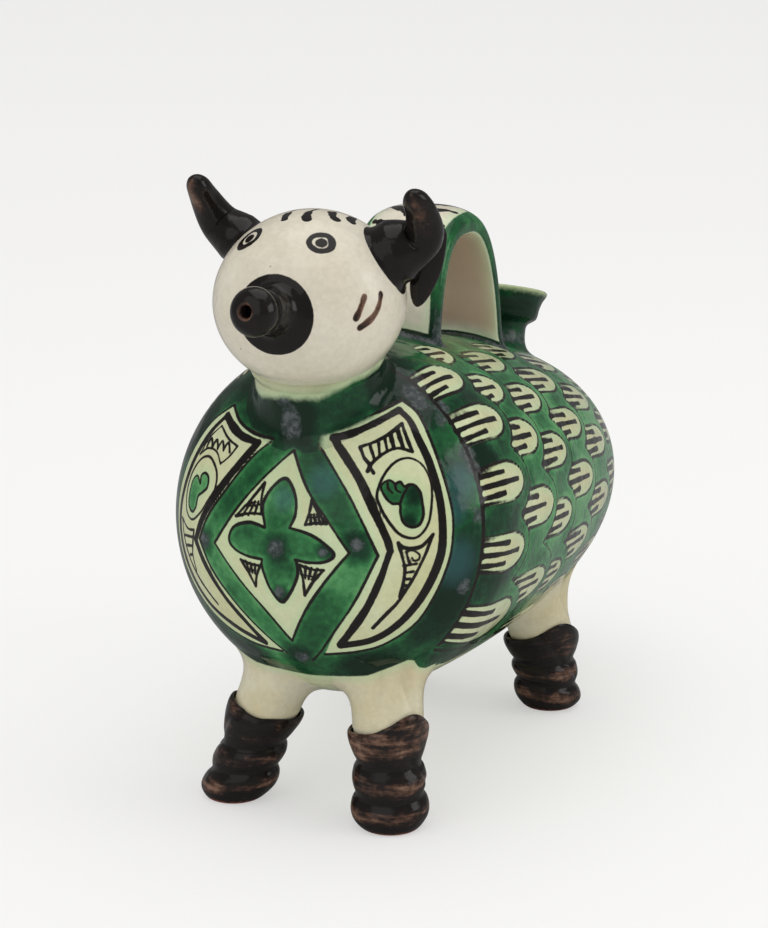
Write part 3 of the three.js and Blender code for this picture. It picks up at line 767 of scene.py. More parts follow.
class Painting:
    """The strokes and the painted areas of one piece."""

    def __init__(self, lay):
        self.lay = lay  # turns drawing points into points on the clay
        self.strokes = []

    def stroke(self, points, width, smooth=True, closed=False, taper=False, lay=None):
        drawn = smooth_line(points, closed=closed) if smooth else straight_line(points)
        line = (lay or self.lay)(drawn)
        way = np.linspace(0, 1, len(line))
        phase = rng.uniform(0, 6.28)
        half = width / 2 * (1 + 0.13 * np.sin(5 * way + phase) + 0.06 * np.sin(17 * way + 2 * phase))
        if taper:
            half = half * np.clip(1.15 - way, 0.45, 1)
        self.strokes.append((line, half))

    def lines(self, width, *drawn, **how):
        """Several strokes of one width."""
        for points in drawn:
            self.stroke(points, width, **how)

    def distance(self, points):
        """From each point to the nearest stroke's edge, below zero inside it."""
        nearest = np.full(len(points), FARTHEST)
        for line, half in self.strokes:
            reach = FARTHEST + half.max()
            low, high = line.min(0) - reach, line.max(0) + reach
            close = np.flatnonzero(((points > low) & (points < high)).all(axis=1))
            at = points[close]
            best = nearest[close]
            for a, b, wide_a, wide_b in zip(line, line[1:], half, half[1:]):
                along = b - a
                share = np.clip((at - a) @ along / max(along @ along, 1e-9), 0, 1)
                away = np.linalg.norm(at - a - share[:, None] * along, axis=1)
                best = np.minimum(best, away - (wide_a + (wide_b - wide_a) * share))
            nearest[close] = best
        return nearest


def outline_of(*sides):
    """One closed outline from smooth sides, each of which starts where the last one ends."""
    return np.vstack([smooth_line(side)[:-1] for side in sides])


def within(points, corners):
    """Whether each flat point lies inside a closed outline."""
    x, y = points[:, 0], points[:, 1]
    inside = np.zeros(len(points), bool)
    for (x0, y0), (x1, y1) in zip(corners, np.roll(corners, -1, axis=0)):
        if y0 != y1:
            crosses = (y0 > y) != (y1 > y)
            inside ^= crosses & (x < (x1 - x0) * (y - y0) / (y1 - y0) + x0)
    return inside


def area(points, flat, valid, corners, lay):
    """Distance from each point to an area's outline, below zero inside the area."""
    outline = Painting(lay)
    outline.strokes.append((lay(np.vstack([corners, corners[:1]])), np.zeros(len(corners) + 1)))
    away = outline.distance(points)
    return np.where(within(flat, corners) & valid, -away, away)


# %% [markdown]
# ## Drawing on the belly
# The chest is drawn as the painter saw it, looking at it from the front: millimetres aside and
# above the belly's axis. The flanks are drawn on the rolled-out belly instead: millimetres along
# it, and degrees round it, where 0 is level on the left and 90 is the top. Both are laid onto the
# same surface.

# %% Drawing planes
def lay_chest(drawn):
    aside, above = drawn[:, 0], drawn[:, 1]
    share = np.clip(1 - (aside ** 2 + above ** 2) / BELLY_RADIUS ** 2, 0, 1)
    return belly_place(BELLY_RING - BELLY_CHEST * np.sqrt(share), aside, above)


def lay_flank(side):
    def lay(drawn):
        radius = belly_radius(drawn[:, 0])
        turn = np.radians(drawn[:, 1])
        return belly_place(drawn[:, 0], side * radius * np.cos(turn), radius * np.sin(turn))

    return lay


belly_paint = Painting(lay_chest)  # black strokes
green_shapes, cream_shapes = [], []  # outlines to fill on the chest

# %% [markdown]
# The chest's middle is a cream lozenge with a green flower of four petals, in a broad green
# frame. A fine black line goes round each green shape before it is filled, so the outlines are
# strokes and the fills are areas that end under those strokes.

# %% Chest lozenge and flower
LINE = 1.15  # the width of a fine line
lozenge = [[(0, 31), (8, 17.5), (17, 6.5), (25.5, -5)], [(25.5, -5), (15, -19), (7.5, -30), (0, -43)],
           [(0, -43), (-9, -31.5), (-20, -20.5), (-32, -8)], [(-32, -8), (-20.5, 8), (-10, 20.5), (0, 31)]]
frame_right = [(4, 37), (10, 33), (18, 24), (25, 14.5), (31, 4), (35.5, -5.5)]
frame_right_low = [(35.5, -5.5), (30, -18), (25, -27), (19, -35.5), (11, -46), (6, -51)]
frame_left = [(-8, 35), (-17, 27), (-27, 14), (-36, 2), (-41, -8)]
frame_left_low = [(-41, -8), (-35, -18), (-27, -27), (-17, -37), (-4, -49)]
belly_paint.lines(LINE, *lozenge, frame_right, frame_right_low, frame_left, frame_left_low)
cream_shapes.append(outline_of(*lozenge))

petals = [
    [(-8, 2), (-9.5, 10), (-6, 17), (-1, 20.5), (3.5, 15), (4.5, 8), (2.5, 2.5)],
    [(2.5, 2.5), (10, 1), (16, -2), (20, -6), (17, -9), (11, -10), (5, -9.5)],
    [(5.5, -9.5), (6, -15), (3, -22), (-1.5, -27), (-6, -22), (-9, -14), (-9, -11)],
    [(-9, -11), (-16, -10.5), (-22, -8.5), (-24.5, -5), (-22, 0), (-15, 2.5), (-8, 1.5)],
]
belly_paint.lines(LINE + 0.15, *petals)
green_shapes.append(outline_of(*petals))

# %% [markdown]
# Beside the flower, four small triangles are outlined with bowed lines and hatched with three bars.
# They are all made the same way, so one function draws them.

# %% Small hatched triangles
def hatched_triangle(tip, first, second, width=1.25):
    """A triangle with bars that run from its short side, first to second, towards its tip."""
    tip, first, second = (np.array(p, float) for p in (tip, first, second))
    middle = (tip + first + second) / 3
    for a, b in ((tip, first), (first, second), (second, tip)):
        bowed = (a + b) / 2 + 0.16 * (middle - (a + b) / 2)
        belly_paint.stroke([a, bowed, b], width)
    for share in (0.26, 0.5, 0.74):
        start = first + share * (second - first)
        belly_paint.stroke([start, start + 0.42 * (tip - start)], 1.15)
    belly_paint.stroke([first + 0.3 * (tip - first), second + 0.3 * (tip - second)], 0.8)


hatched_triangle((-9.8, 18), (-21.5, 4), (-9.8, 6.3))
hatched_triangle((10.3, 13.6), (8.6, 4.2), (16.8, 5.3))
hatched_triangle((-12.4, -22), (-18.8, -12.4), (-9.8, -13.6))
hatched_triangle((8.4, -23), (6.8, -11.3), (16.2, -12.4))

# %% [markdown]
# Each side panel of the chest is a curved triangle: a fine outline, a heavy black band just inside
# it, and in the cream field an oval with a lobed green leaf, a hatched corner above it and a
# hatched horn below. The right panel is nearly all in view, and the left one follows it.

# %% Right panel
BAND = 3.2  # the width of the heavy band


def panel(collar, outer, closing, bands):
    """A side panel: a fine outline, the heavy bands inside it, and its cream field."""
    belly_paint.stroke(collar, 1.5)
    belly_paint.stroke(outer, 1.3)
    for points, width in bands:
        belly_paint.stroke(points, width)
    cream_shapes.append(outline_of(collar, outer, *closing))


panel([(4, 38), (13, 40), (24, 44.5), (33, 51)],
      [(33, 51), (40, 46), (47, 36), (53, 24), (57, 12), (58, 2), (57, -8), (53, -20), (46, -32),
       (35, -41), (25, -45), (12, -47.5)],
      ([(12, -47.5), (19, -36), (25, -27.5), (30, -18.5), (35.5, -5.5)],
       [(35.5, -5.5), (31, 4), (25, 14.5), (18, 24), (10, 33), (4, 38)]),
      (([(14, 36.5), (20, 38.5), (27, 42.5), (33.5, 47.5)], BAND),
       ([(33.5, 47.5), (38, 44), (42, 38.5), (48, 29), (53, 16.5), (55.2, 3), (54.2, -8), (49, -21),
         (41, -32), (31, -39.5), (19, -43)], BAND),
       ([(14, 36.5), (20, 30.5), (27, 22), (33, 11.5), (38, 1.5), (39.5, -3.5)], BAND),
       ([(39.5, -3.5), (36, -15), (31, -26), (25, -35), (19, -42.5)], BAND - 0.2)))

# %% [markdown]
# The corner over the oval is drawn with four lines and then hatched with five bars, which grow
# broader towards the flank. Each bar starts on the upper line and ends on the lower one.

# %% Right panel's corner
corner_top = [(24.5, 34), (29.5, 36.4), (33.3, 39.4), (36, 42.8)]
belly_paint.lines(1.5, corner_top, [(36, 42.8), (38.8, 38.2), (41.9, 33.1)])
belly_paint.stroke([(41.9, 33.1), (37.1, 34.2), (33.6, 32.6), (30.9, 29.9), (29.5, 27.3), (31.1, 25)],
                   1.4)
belly_paint.stroke([(24.5, 34), (26.9, 30.2), (29.2, 27.8), (28.9, 25.5)], 1.6)
upper = smooth_line(corner_top)
lower = smooth_line([(28.9, 28.6), (30.9, 29.9), (33.6, 32.6), (37.1, 34.2), (41.9, 33.1)])
for share in (0.2, 0.36, 0.52, 0.68, 0.84):
    bar = [line[round(share * (len(line) - 1))] for line in (upper, lower)]
    belly_paint.stroke(bar, 1.3 + 0.5 * (share > 0.6))

# %% [markdown]
# Under the corner stands an oval with a lobed leaf, and under the oval a horn with a small spiral
# and four bars. The leaf is outlined first and filled with green afterwards.

# %% Right panel's leaf and horn
def leaf_in_oval(oval, width, leaf):
    """An oval of a given width of line, and a leaf that is filled with green."""
    belly_paint.stroke(oval, width, closed=True)
    belly_paint.stroke(leaf, 1.1, closed=True)
    green_shapes.append(smooth_line(leaf, closed=True))


leaf_in_oval([(33.4, 17.1), (34.4, 23.7), (37.1, 28.9), (40.8, 30.8), (44.8, 29.4), (48.3, 25.2),
              (50.4, 19.4), (51.1, 11.4), (50.5, 6.2), (48.3, 2.4), (45.5, 1.6), (41.7, 3.4),
              (37.4, 8.9), (35, 13)], 1.15,
             [(34.3, 20.3), (36.2, 22.6), (37.8, 22.2), (38.8, 21.4), (40.3, 22.2), (41.9, 20.6),
              (43.2, 21.3), (45.1, 21), (47.1, 18.5), (48.3, 14.3), (49, 10.2), (48.2, 6.8),
              (46, 5.7), (43.4, 7), (41.9, 10.5), (41.3, 14), (38.9, 14.2), (36.4, 16.4)])
belly_paint.lines(1.0, [(43.2, 20.8), (42, 17.6), (41.4, 14.2)], [(36.2, 22), (36.9, 19.6), (38.6, 18)],
                  [(38.8, 21.4), (39.4, 19.4), (41, 18.4)])
belly_paint.lines(1.5, [(41.9, -0.3), (43.7, -2), (46.6, -2.3), (49, -1.6), (51, 0.7), (52.4, 3)],
                  [(52.4, 3), (50.6, -4), (48.2, -10.6), (45.6, -16.1), (41.4, -23.4), (37, -28.6),
                   (31.9, -34.5)],
                  [(41.9, -0.3), (43.3, -5.3), (44.2, -10.6), (43.3, -16.9), (42.2, -21.3)])
belly_paint.stroke([(44.5, -3.6), (46.7, -3.2), (48.6, -4.6), (48.5, -6.4), (47.1, -7), (46.4, -5.9)], 0.9)
belly_paint.lines(1.2, [(44.6, -3.6), (45.2, -6.4), (45.8, -8.3)], [(47.8, -8.2), (43.8, -9)],
                  [(46.8, -11.2), (44, -11.8)], [(45.8, -14), (43.8, -14.4)],
                  [(44.8, -16.6), (43.2, -17)])

# %% [markdown]
# The left panel has the same parts. Its corner is filled with one row of loops instead of bars.

# %% Left panel
def loops(start, end, height, count):
    """A row of loops between two points, as a painter fills a narrow shape."""
    start, end = np.asarray(start, float), np.asarray(end, float)
    along = end - start
    up = np.array([-along[1], along[0]]) / max(np.linalg.norm(along), 1e-9)
    way = np.linspace(0, 1, 8 * count + 1)
    return (start + way[:, None] * along
            + (height * np.abs(np.sin(math.pi * count * way)))[:, None] * up)


panel([(-9, 34), (-18, 35), (-27, 38), (-34, 43.5)],
      [(-34, 43.5), (-44, 36), (-52, 24), (-57, 10), (-58, -4), (-55, -18), (-47, -31), (-35, -41),
       (-20, -47), (-6, -48.5)],
      ([(-4, -49), (-17, -37), (-27, -27), (-35, -18), (-41, -8)],
       [(-41, -8), (-36, 2), (-27, 14), (-17, 27), (-9, 34)]),
      (([(-16, 32), (-24, 33.3), (-30, 35.8), (-36, 39.5)], BAND),
       ([(-36, 39.5), (-44, 30.5), (-51, 17), (-55, 2), (-54.6, -10), (-50, -22), (-40, -34),
         (-26, -41.5), (-13, -46)], BAND - 0.4),
       ([(-16, 32), (-22, 24.5), (-32, 11.5), (-39, 1), (-43.5, -9)], BAND),
       ([(-43.5, -9), (-38, -18), (-29, -29), (-20, -38), (-13, -45.5)], BAND - 0.5)))
belly_paint.lines(1.0, [(-37, 35.5), (-31, 31.5), (-25.5, 29.5)], [(-37, 35.5), (-42.5, 30), (-46, 23.5)],
                  [(-25.5, 29.5), (-28.5, 25.5), (-32.5, 22)],
                  [(-46, 23.5), (-41.5, 26.5), (-36, 26), (-32.5, 22)])
belly_paint.stroke(loops((-42.6, 27), (-29, 27), 3.2, 4), 1.3, smooth=False)
leaf_in_oval([(-33.5, 13), (-34, 19), (-39, 23.5), (-44.5, 22), (-49, 16), (-51, 8), (-50, 1),
              (-46, -1.5), (-41, 2), (-37, 7.5)], 1.1,
             [(-42.5, 13), (-45, 15.6), (-47.6, 13.5), (-49, 8), (-48.6, 3.4), (-46, 1.5), (-43.8, 4),
              (-43, 8), (-40.5, 10), (-38, 12.4), (-38, 16), (-40.4, 17.4), (-42.6, 16)])
belly_paint.stroke([(-44.6, -5.4), (-49, -5.6), (-53.4, -2.4)], 1.2)
belly_paint.stroke([(-53.4, -2.4), (-51.5, -11), (-47.6, -19), (-42, -26), (-34, -33.4)], 1.3)
belly_paint.lines(1.2, [(-44.6, -5.4), (-45.6, -11), (-46, -16), (-44.6, -21.6)],
                  [(-45.2, -8.4), (-51.6, -8.8)], [(-45.8, -12), (-50, -12.6)],
                  [(-46, -15.6), (-48, -16)])

# %% [markdown]
# A green ring closes the chest, between a black line in front and one behind. Behind it the scales
# begin. Each scale is a green tile whose scalloped edge is drawn in grey-black, with a cream tongue
# on it that holds three black bars. They lie in staggered rows like roof tiles, so a tongue starts
# under the scallops of the row before it. The centres are the painter's, a little uneven.

# %% Scale rows
SCALE_ROWS = [  # base along the belly, half width in degrees, and each tongue's turn and tip
    (-31, 6.4, ((56, 1), (37.5, 6.5), (17, 6), (-5.5, 3), (-31, 16))),
    (7.5, 6.4, ((68, 20), (48.8, 29), (29.5, 34.7), (6, 37), (-22, 44))),
    (40, 6.2, ((61, 62), (42.8, 65), (22.5, 68), (-0.5, 65.5), (-23, 70), (-43, 72))),
    (71, 6.3, ((68, 96), (50, 104), (30.5, 103), (9.5, 102), (-14.5, 102), (-36, 104))),
    (109, 6.6, ((62, 139), (41.5, 145), (21.5, 142), (-2, 139), (-27, 141))),
    (147, 8.2, ((50, 172), (27, 173), (3, 171), (-22, 172), (-47, 171))),
    (176, 10.5, ((66, 196), (36, 196), (6, 197), (-25, 196), (-57, 195))),
]
BAR_OFFSETS = ((3.7, 0.55), (-0.1, 0.84), (-3.8, 0.48))  # degrees aside, share of the length
BAR_TONGUE = 6.5  # half width in degrees of the tongue that these bars fit
SCALE_START = -31  # where the scales begin along the belly
LOWEST_TURN = -31  # the first row's lowest tongue, in degrees
LOWEST_WIDER = 1.3  # and how much wider it is
SCALLOP_PAST_TIP = 5.2
SCALLOP_DEPTH = 11.5


def scallop(row, turn):
    """Where a row's scalloped edge lies along the belly, at a turn in degrees."""
    placed_tongues = row[2]
    centres = [c for c, _ in placed_tongues]
    gap = np.abs(np.diff(centres)).mean() / 2
    turn = np.asarray(turn, float)
    edges = [tip + SCALLOP_PAST_TIP - SCALLOP_DEPTH * (np.abs(turn - c) / gap) ** 2.3
             for c, tip in placed_tongues]
    lowest = np.mean([tip for _, tip in placed_tongues]) - 9
    return np.maximum(np.max(edges, axis=0), lowest)


def tongue(base, tip, centre, half):
    """A tongue's outline: straight sides and a long, round tip, open at its base."""
    reach = min(17.0, 0.6 * (tip - base))
    turn = np.radians(np.linspace(90, -90, 15))
    points = [(base, centre + 0.92 * half)]
    points += [(tip - reach + reach * math.cos(t), centre + half * math.sin(t)) for t in turn]
    return np.array(points + [(base, centre - 0.92 * half)])


tongues = []
for side in (1, -1):
    lay = lay_flank(side)
    behind = None
    for row in SCALE_ROWS:
        base, half, placed_tongues = row
        for centre, tip in placed_tongues:
            wide = half * (LOWEST_WIDER if behind is None and centre == LOWEST_TURN else 1)
            outline = tongue(base - 9 if behind else base, tip + rng.uniform(-1, 1), centre, wide)
            dense = straight_line(outline)
            shown = dense if behind is None else dense[dense[:, 0] > scallop(behind, dense[:, 1])]
            belly_paint.stroke(shown, 1.45, smooth=False, lay=lay)
            tongues.append((side, behind, outline))
            start = base if behind is None else float(scallop(behind, centre))
            for aside, share in BAR_OFFSETS:
                aside *= wide / BAR_TONGUE
                from_along = base if behind is None else float(scallop(behind, centre + aside))
                end = start + (tip - start) * share * rng.uniform(0.93, 1.05)
                belly_paint.stroke([(from_along, centre + aside), (end - 1.2, centre + 0.9 * aside)],
                                   2.2 * wide / BAR_TONGUE, smooth=False, lay=lay)
        turns = np.arange(-46, 91, 1.5)
        edge = np.column_stack([scallop(row, turns), turns])
        belly_paint.stroke(edge, 1.2, smooth=False, lay=lay)
        behind = row
    belly_paint.stroke([(-30.5, 95), (-30.5, 40), (SCALE_START, 0), (SCALE_START, -41)], 1.7,
                       smooth=False, lay=lay)
    belly_paint.stroke([(SCALE_START, -43), (-10, -41.3), (15, -43.5), (60, -46), (110, -44),
                        (160, -52)], 1.6, lay=lay)
print("strokes on the belly:", len(belly_paint.strokes))

# %% [markdown]
# The underside is left cream, and so are the legs. Its edge is a soft line low on each flank. Under
# the chest, where the edge crosses the roots of the legs, it is given as a height at each width.

# %% Underside
APRON_END = -22  # ahead of this the heights hold
UNDERSIDE = np.array([(-26, -98), (-26, -50), (-4, -48.8), (13, -49.2), (40, -51), (80, -51),
                      (110, -46), (140, -46), (170, -60), (188, -80), (192, -98)])
APRON_WIDTHS = (-60, -36, -23, -13, 2.4, 12.7, 21.7, 29.1, 36.5, 40.5, 42.3, 44, 60)
APRON_HEIGHTS = (69, 64, 61, 60.4, 59.9, 60.7, 62.4, 64, 67.3, 69.2, 66.6, 64.2, 64.2)

# %% [markdown]
# Copper that lay too thick turned grey in spots, with dark pools beside them. Some crests have a
# blue tint, partly the copper's own blooming and partly a painted sheen where the softboxes would
# be mirrored. Each spot is given by its place on the chest's drawing and its size, in millimetres.

# %% Pools, blooming and painted sheen
METAL_SPOTS = [((-3.5, 44), 3.8), ((-1.8, 38), 4.6), ((35, 53.5), 5), ((38.5, 50), 4), ((45, 48.5), 4),
               ((57, 32), 4.5), ((60, 27), 3.5), ((64, 9.5), 3.6), ((60.5, -18), 3.6), ((-38, -8), 3.8),
               ((-3.2, -5.8), 4), ((16, -5.6), 2), ((-2, -23), 2.6), ((28, -1.8), 3.0),
               ((2, -50), 3.4), ((47, 44), 3), ((-58, 24), 4)]
POOL_SPOTS = [((28, -3), 7), ((-38, -8), 6), ((0, -50), 8), ((-3, -6), 6), ((34, 51), 13), ((0, 39), 8),
              ((17, -5), 4), ((-1.5, -24), 4), ((59, -18), 14), ((62, 28), 10), ((46, 18), 4.5),
              ((45, 7.5), 3), ((28, -50), 12), ((-52, 33), 12), ((-20, -52), 10)]
# painted sheen and copper blooming, where the softboxes would be mirrored on the chest
BLOOM_AND_SHEEN_SPOTS = [((14, 21), 7), ((-1, 13), 5), ((58, 22), 8), ((59, -8), 10), ((57, 12), 7), ((20, 55), 6)]


def spotted(points, spots, lay):
    """One number for each vertex: 1 in the middle of a spot and 0 past its edge."""
    made = np.zeros(len(points))
    for place, size in spots:
        middle = lay(np.array([place], float))[0]
        away = np.linalg.norm(points - middle, axis=1) / size
        made = np.maximum(made, np.clip(1.25 - away ** 1.5, 0, 1))
    return made


# %% [markdown]
# ## The belly
# The belly's outline is two curves that meet at its fattest ring. A column of points along that
# outline is spun round the belly's axis. Where the brushwork is fine, the mesh is cut finer, twice
# on the chest and once on the flanks, and every new vertex is seated back on the surface, so the
# belly stays smooth. Where the collar and the filling neck stand, it is open, as in the clay.

# %% Belly skin
def run_along(line):
    """How far each point of a line lies from its start, measured along the line."""
    return np.concatenate([[0], np.cumsum(np.linalg.norm(np.diff(line, axis=0), axis=1))])


def belly_rows(count):
    """Places along the belly, closer together where it turns in."""
    angle = np.linspace(0, math.pi / 2, 400)
    front = np.column_stack([BELLY_RING - BELLY_CHEST * np.cos(angle), BELLY_RADIUS * np.sin(angle)])
    turn = angle[::-1]
    rear = np.column_stack([BELLY_RING + BELLY_RUMP * np.cos(turn) ** (2 / RUMP_TAPER),
                            BELLY_RADIUS * np.sin(turn) ** (2 / RUMP_FULLNESS)])
    line = np.vstack([front, rear[1:]])
    way = run_along(line)
    even = np.linspace(0, way[-1], count)
    return np.column_stack([np.interp(even, way, line[:, 0]), np.interp(even, way, line[:, 1])])


def belly_shape(profile):
    def shape(turn, row):
        along, radius = profile[row, 0], profile[row, 1]
        return belly_place(along, radius * np.cos(turn), radius * np.sin(turn))

    return shape


BELLY_SIDES = 176
FINE_CHEST_END = -33  # along the belly: ahead of it the mesh is cut twice
profile = belly_rows(150)
bm = formed(len(profile), BELLY_SIDES, belly_shape(profile))


def cut_finer(bm, measure, width):
    """Cuts every edge whose both ends lie within a width of something painted."""
    near = np.abs(measure(placed(bm))) < width
    bm.verts.ensure_lookup_table()
    chosen = [e for e in bm.edges if near[e.verts[0].index] and near[e.verts[1].index]]
    bmesh.ops.subdivide_edges(bm, edges=chosen, cuts=1, use_grid_fill=True)
    put(bm, onto_belly(placed(bm)))
    bm.verts.index_update()
    return len(chosen)


def fine_strokes(points):
    """The distance to the chest's strokes alone."""
    chest = belly_measures(points)[0] < FINE_CHEST_END
    made = np.full(len(points), FARTHEST)
    made[chest] = belly_paint.distance(points[chest])
    return made


print("edges cut on the whole belly:", cut_finer(bm, belly_paint.distance, 1.9))
print("edges cut on the chest:", cut_finer(bm, fine_strokes, 1.15))

# %% [markdown]
# The paint on the belly runs on over the roots of the legs, which were stuck on before painting.
# So one function tells every coat of paint at any point on or near the belly. With each
# millimetre away from the belly the strokes draw back, and the green draws back or spreads.

# %% Belly paint
CHEST_END = -25  # along the belly: behind it nothing is filled from the chest's drawing
INK_DRAW_BACK = 0.6  # for each millimetre away from the belly


def away_from_axis(points, middle, axis):
    off = points - middle
    return np.linalg.norm(off - (off @ axis)[:, None] * axis, axis=1)


def belly_coats(points, draw_back=0.5):
    """Every coat of paint at given points, by name, as one number for each point."""
    on = onto_belly(points)
    off = np.linalg.norm(points - on, axis=1)
    along, aside, above = belly_measures(on)
    turns = {side: np.degrees(np.arctan2(above, side * aside)) for side in (1, -1)}
    everywhere = np.ones(len(on), bool)
    chest_plane = np.column_stack([aside, above])
    on_chest = along < CHEST_END

    cream = np.full(len(on), FARTHEST)
    for outline in cream_shapes:
        cream = np.minimum(cream, area(on, chest_plane, on_chest, outline, lay_chest))
    for side, behind, outline in tongues:
        flat = np.column_stack([along, turns[side]])
        shape = area(on, flat, everywhere, outline, lay_flank(side))
        start = along - (SCALE_START if behind is None else scallop(behind, turns[side]))
        cream = np.minimum(cream, np.maximum(shape, -start))
    for side in (1, -1):
        flat = np.column_stack([along, turns[side]])
        cream = np.minimum(cream, area(on, flat, everywhere, UNDERSIDE, lay_flank(side)))
    apron = points[:, 2] - np.interp(points[:, 0], APRON_WIDTHS, APRON_HEIGHTS)
    cream = np.where(along < APRON_END, np.minimum(cream, apron), cream)

    green = -cream
    for outline in green_shapes:
        green = np.minimum(green, area(on, chest_plane, on_chest, outline, lay_chest))

    # Pools: the spots, the shoulder and the foot of the collar; and the green lighter towards the rump.
    pool = 0.6 * spotted(on, POOL_SPOTS, lay_chest)
    pool += 0.42 * np.clip((18 - along) / 30, 0, 1) * np.clip((along + 49) / 5, 0, 1)
    pool -= 0.2 * np.clip((along - 20) / 90, 0, 1)
    pool += 0.35 * np.clip(1 - (away_from_axis(on, head_middle, head_up) - 27) / 14, 0, 1)
    return {
        "ink": belly_paint.distance(on) + INK_DRAW_BACK * off,
        "green": green + draw_back * off,
        "pool": pool,
        "metal": spotted(on, METAL_SPOTS, lay_chest),
        "bloomsheen": spotted(on, BLOOM_AND_SHEEN_SPOTS, lay_chest),
    }


coats = belly_coats(placed(bm))
for coat in ("ink", "green"):
    print(f"vertices under {coat}:", int((coats[coat] < 0).sum()))

# %% [markdown]
# The belly is open under the collar and under the filling neck. The cut rims lie hidden inside the
# walls of those two pieces. A lining with the clay's own thickness makes the hollow inside.

# %% Belly openings and lining
NECK_OPENING = 20.0  # radius of the opening under the collar
FILLER_OPENING = 9.6  # and of the one under the filling neck
FILLER_LEAN = math.radians(17)
FILLER_Y = 148.6  # of the filling neck's foot on the back
filler_up = vec(0, math.sin(FILLER_LEAN), math.cos(FILLER_LEAN))


def back_height(y, farthest):
    """How high the belly's back is over the floor, searched for from above."""
    above = 300
    return above - reach_of(belly_growth, vec(0, y, above)[None], vec(0, 0, -1), farthest)[0]


filler_foot = vec(0, FILLER_Y, back_height(FILLER_Y, 200))


def open_back(bm):
    """Opens the back under the collar and the filling neck, and tells which vertices stay."""
    at = placed(bm)
    under_neck = away_from_axis(at, head_middle, head_up) < NECK_OPENING
    under_filler = away_from_axis(at, filler_foot, filler_up) < FILLER_OPENING
    gone = (under_neck | under_filler) & (belly_measures(at)[2] > 20)
    bmesh.ops.delete(bm, geom=[v for v, out in zip(bm.verts, gone) if out], context="VERTS")
    return np.flatnonzero(~gone)


left_over = open_back(bm)
keep(bm, "belly", belly_glaze, "green_glaze", "body_shell",
     **{name: values[left_over] for name, values in coats.items()})

WALL = 6.0  # of clay
profile = belly_rows(70)
bm = formed(len(profile), 84, belly_shape(profile))
at = placed(bm)
put(bm, at - normal_of(belly_growth, at) * WALL)
open_back(bm)
bmesh.ops.reverse_faces(bm, faces=bm.faces)
keep(bm, "belly_lining", lining_glaze, "green_glaze")

# %% [markdown]
# ## Turned limbs
# Collar, muzzle, filling neck and legs are turned too. Each is a stack of rings on its own axis,
# given as radius and way along the axis, and the last ring runs on into a fillet on the body.

# %% Turned limbs
def turned(profile, middle, across, forward, direction, sides):
    rings = [round_ring(middle + way * direction, across, forward, radius, sides)[0]
             for radius, way in profile]
    return np.array(rings), round_ring(middle, across, forward, 1, sides)[1]


def uneven(points, amount, size):
    """A slow, hand-made unevenness: one number for each point."""
    x, y, z = (points[..., axis] / size for axis in range(3))
    return amount * (np.sin(x + 1.7 * y) + np.sin(1.3 * z - 0.8 * x)) / 2


# %% [markdown]
# ## The neck collar
# The collar leans forward with the head. It has a soft rib under the head, and below that it
# sweeps out over the chest and the back. The painter left its upper edge cream and washed a dark
# green up to it, whose edge waves a little and is soft.

# %% Collar
NECK_DROP = 27.5  # from the head's middle down to the foot of the rib
across = vec(1, 0, 0)
neck_forward = np.cross(-head_up, across)
profile = smooth_line([(24.0, -9), (24.8, -6), (25.7, -4.2), (26.1, -2.8), (25.6, -1.2), (24.9, 0)], 5)
rings, outwards = turned(profile, head_middle - NECK_DROP * head_up, across, neck_forward, -head_up, 160)
foot = fillet(belly_growth, rings[-1], -head_up, outwards, 7, 34, early=0.5)
bm = ringed(np.concatenate([rings, foot]))
points = placed(bm)
off = points - head_middle
drop = -(off @ head_up)
turn = np.arctan2(off @ neck_forward, off[:, 0])
edge = 29.2 - 4.6 * np.cos(turn) + 1.6 * np.exp(-((turn - 1.05) / 0.44) ** 2)
edge += 0.6 * np.sin(6 * turn + 0.6) + 0.3 * np.sin(17 * turn + 1)
coats = belly_coats(points, draw_back=-2.5)
coats["pool"] += 0.3 * np.clip((drop - edge) / 4, 0, 1)
coats["green"] = np.maximum(edge - drop, coats["green"])
del coats["bloomsheen"]
keep(bm, "collar", collar_glaze, "green_glaze", "neck_collar", **coats)

# %% [markdown]
# ## The head
# The head is the same kind of spun tube as the belly, round its own leaning axis, with a pole at
# the crown and open where it stands on the collar. The potter's fingers left it a little uneven.

# %% Head skin
HEAD_ROWS, HEAD_SIDES = 170, 260
HEAD_SPAN = 147  # degrees from the crown down to the collar


def head_shape(turn, row):
    rise = np.radians(90 - row * HEAD_SPAN / (HEAD_ROWS - 1))
    level = np.multiply.outer(np.cos(turn) * np.cos(rise), across)
    level = level + np.multiply.outer(np.sin(turn) * np.cos(rise), head_ahead)
    return head_middle + HEAD_RADIUS * level + HEAD_HALF_HEIGHT * np.multiply.outer(np.sin(rise), head_up)


bm = formed(HEAD_ROWS, HEAD_SIDES, head_shape)
points = placed(bm)
put(bm, points + unit(points - head_middle) * uneven(points, 0.25, 14)[:, None])

# %% [markdown]
# The face is drawn in degrees: sideways from the middle of the face, and up from the level of the
# head. Eyes are drawn in millimetres round their own middles, so that they come out round: a thick
# black ring, a thin gap of bare glaze, and a black pupil. The fringe, the disc behind the muzzle
# and the patches round the horns are given as places in space that are pressed onto the head.

# %% Face
def lay_face(drawn):
    side, rise = np.radians(drawn[:, 0]), np.radians(drawn[:, 1])
    way = (np.multiply.outer(np.sin(side) * np.cos(rise), across)
           + np.multiply.outer(np.cos(side) * np.cos(rise), head_ahead)
           + np.multiply.outer(np.sin(rise), head_up))
    return onto_head(head_middle + way)


def lay_eye(side, rise):
    middle = lay_face(np.array([[side, rise]], float))[0]
    sideways = unit(lay_face(np.array([[side + 1, rise]], float))[0] - middle)
    upwards = unit(lay_face(np.array([[side, rise + 1]], float))[0] - middle)

    def lay(drawn):
        return onto_head(middle + drawn[:, :1] * sideways + drawn[:, 1:] * upwards)

    return lay


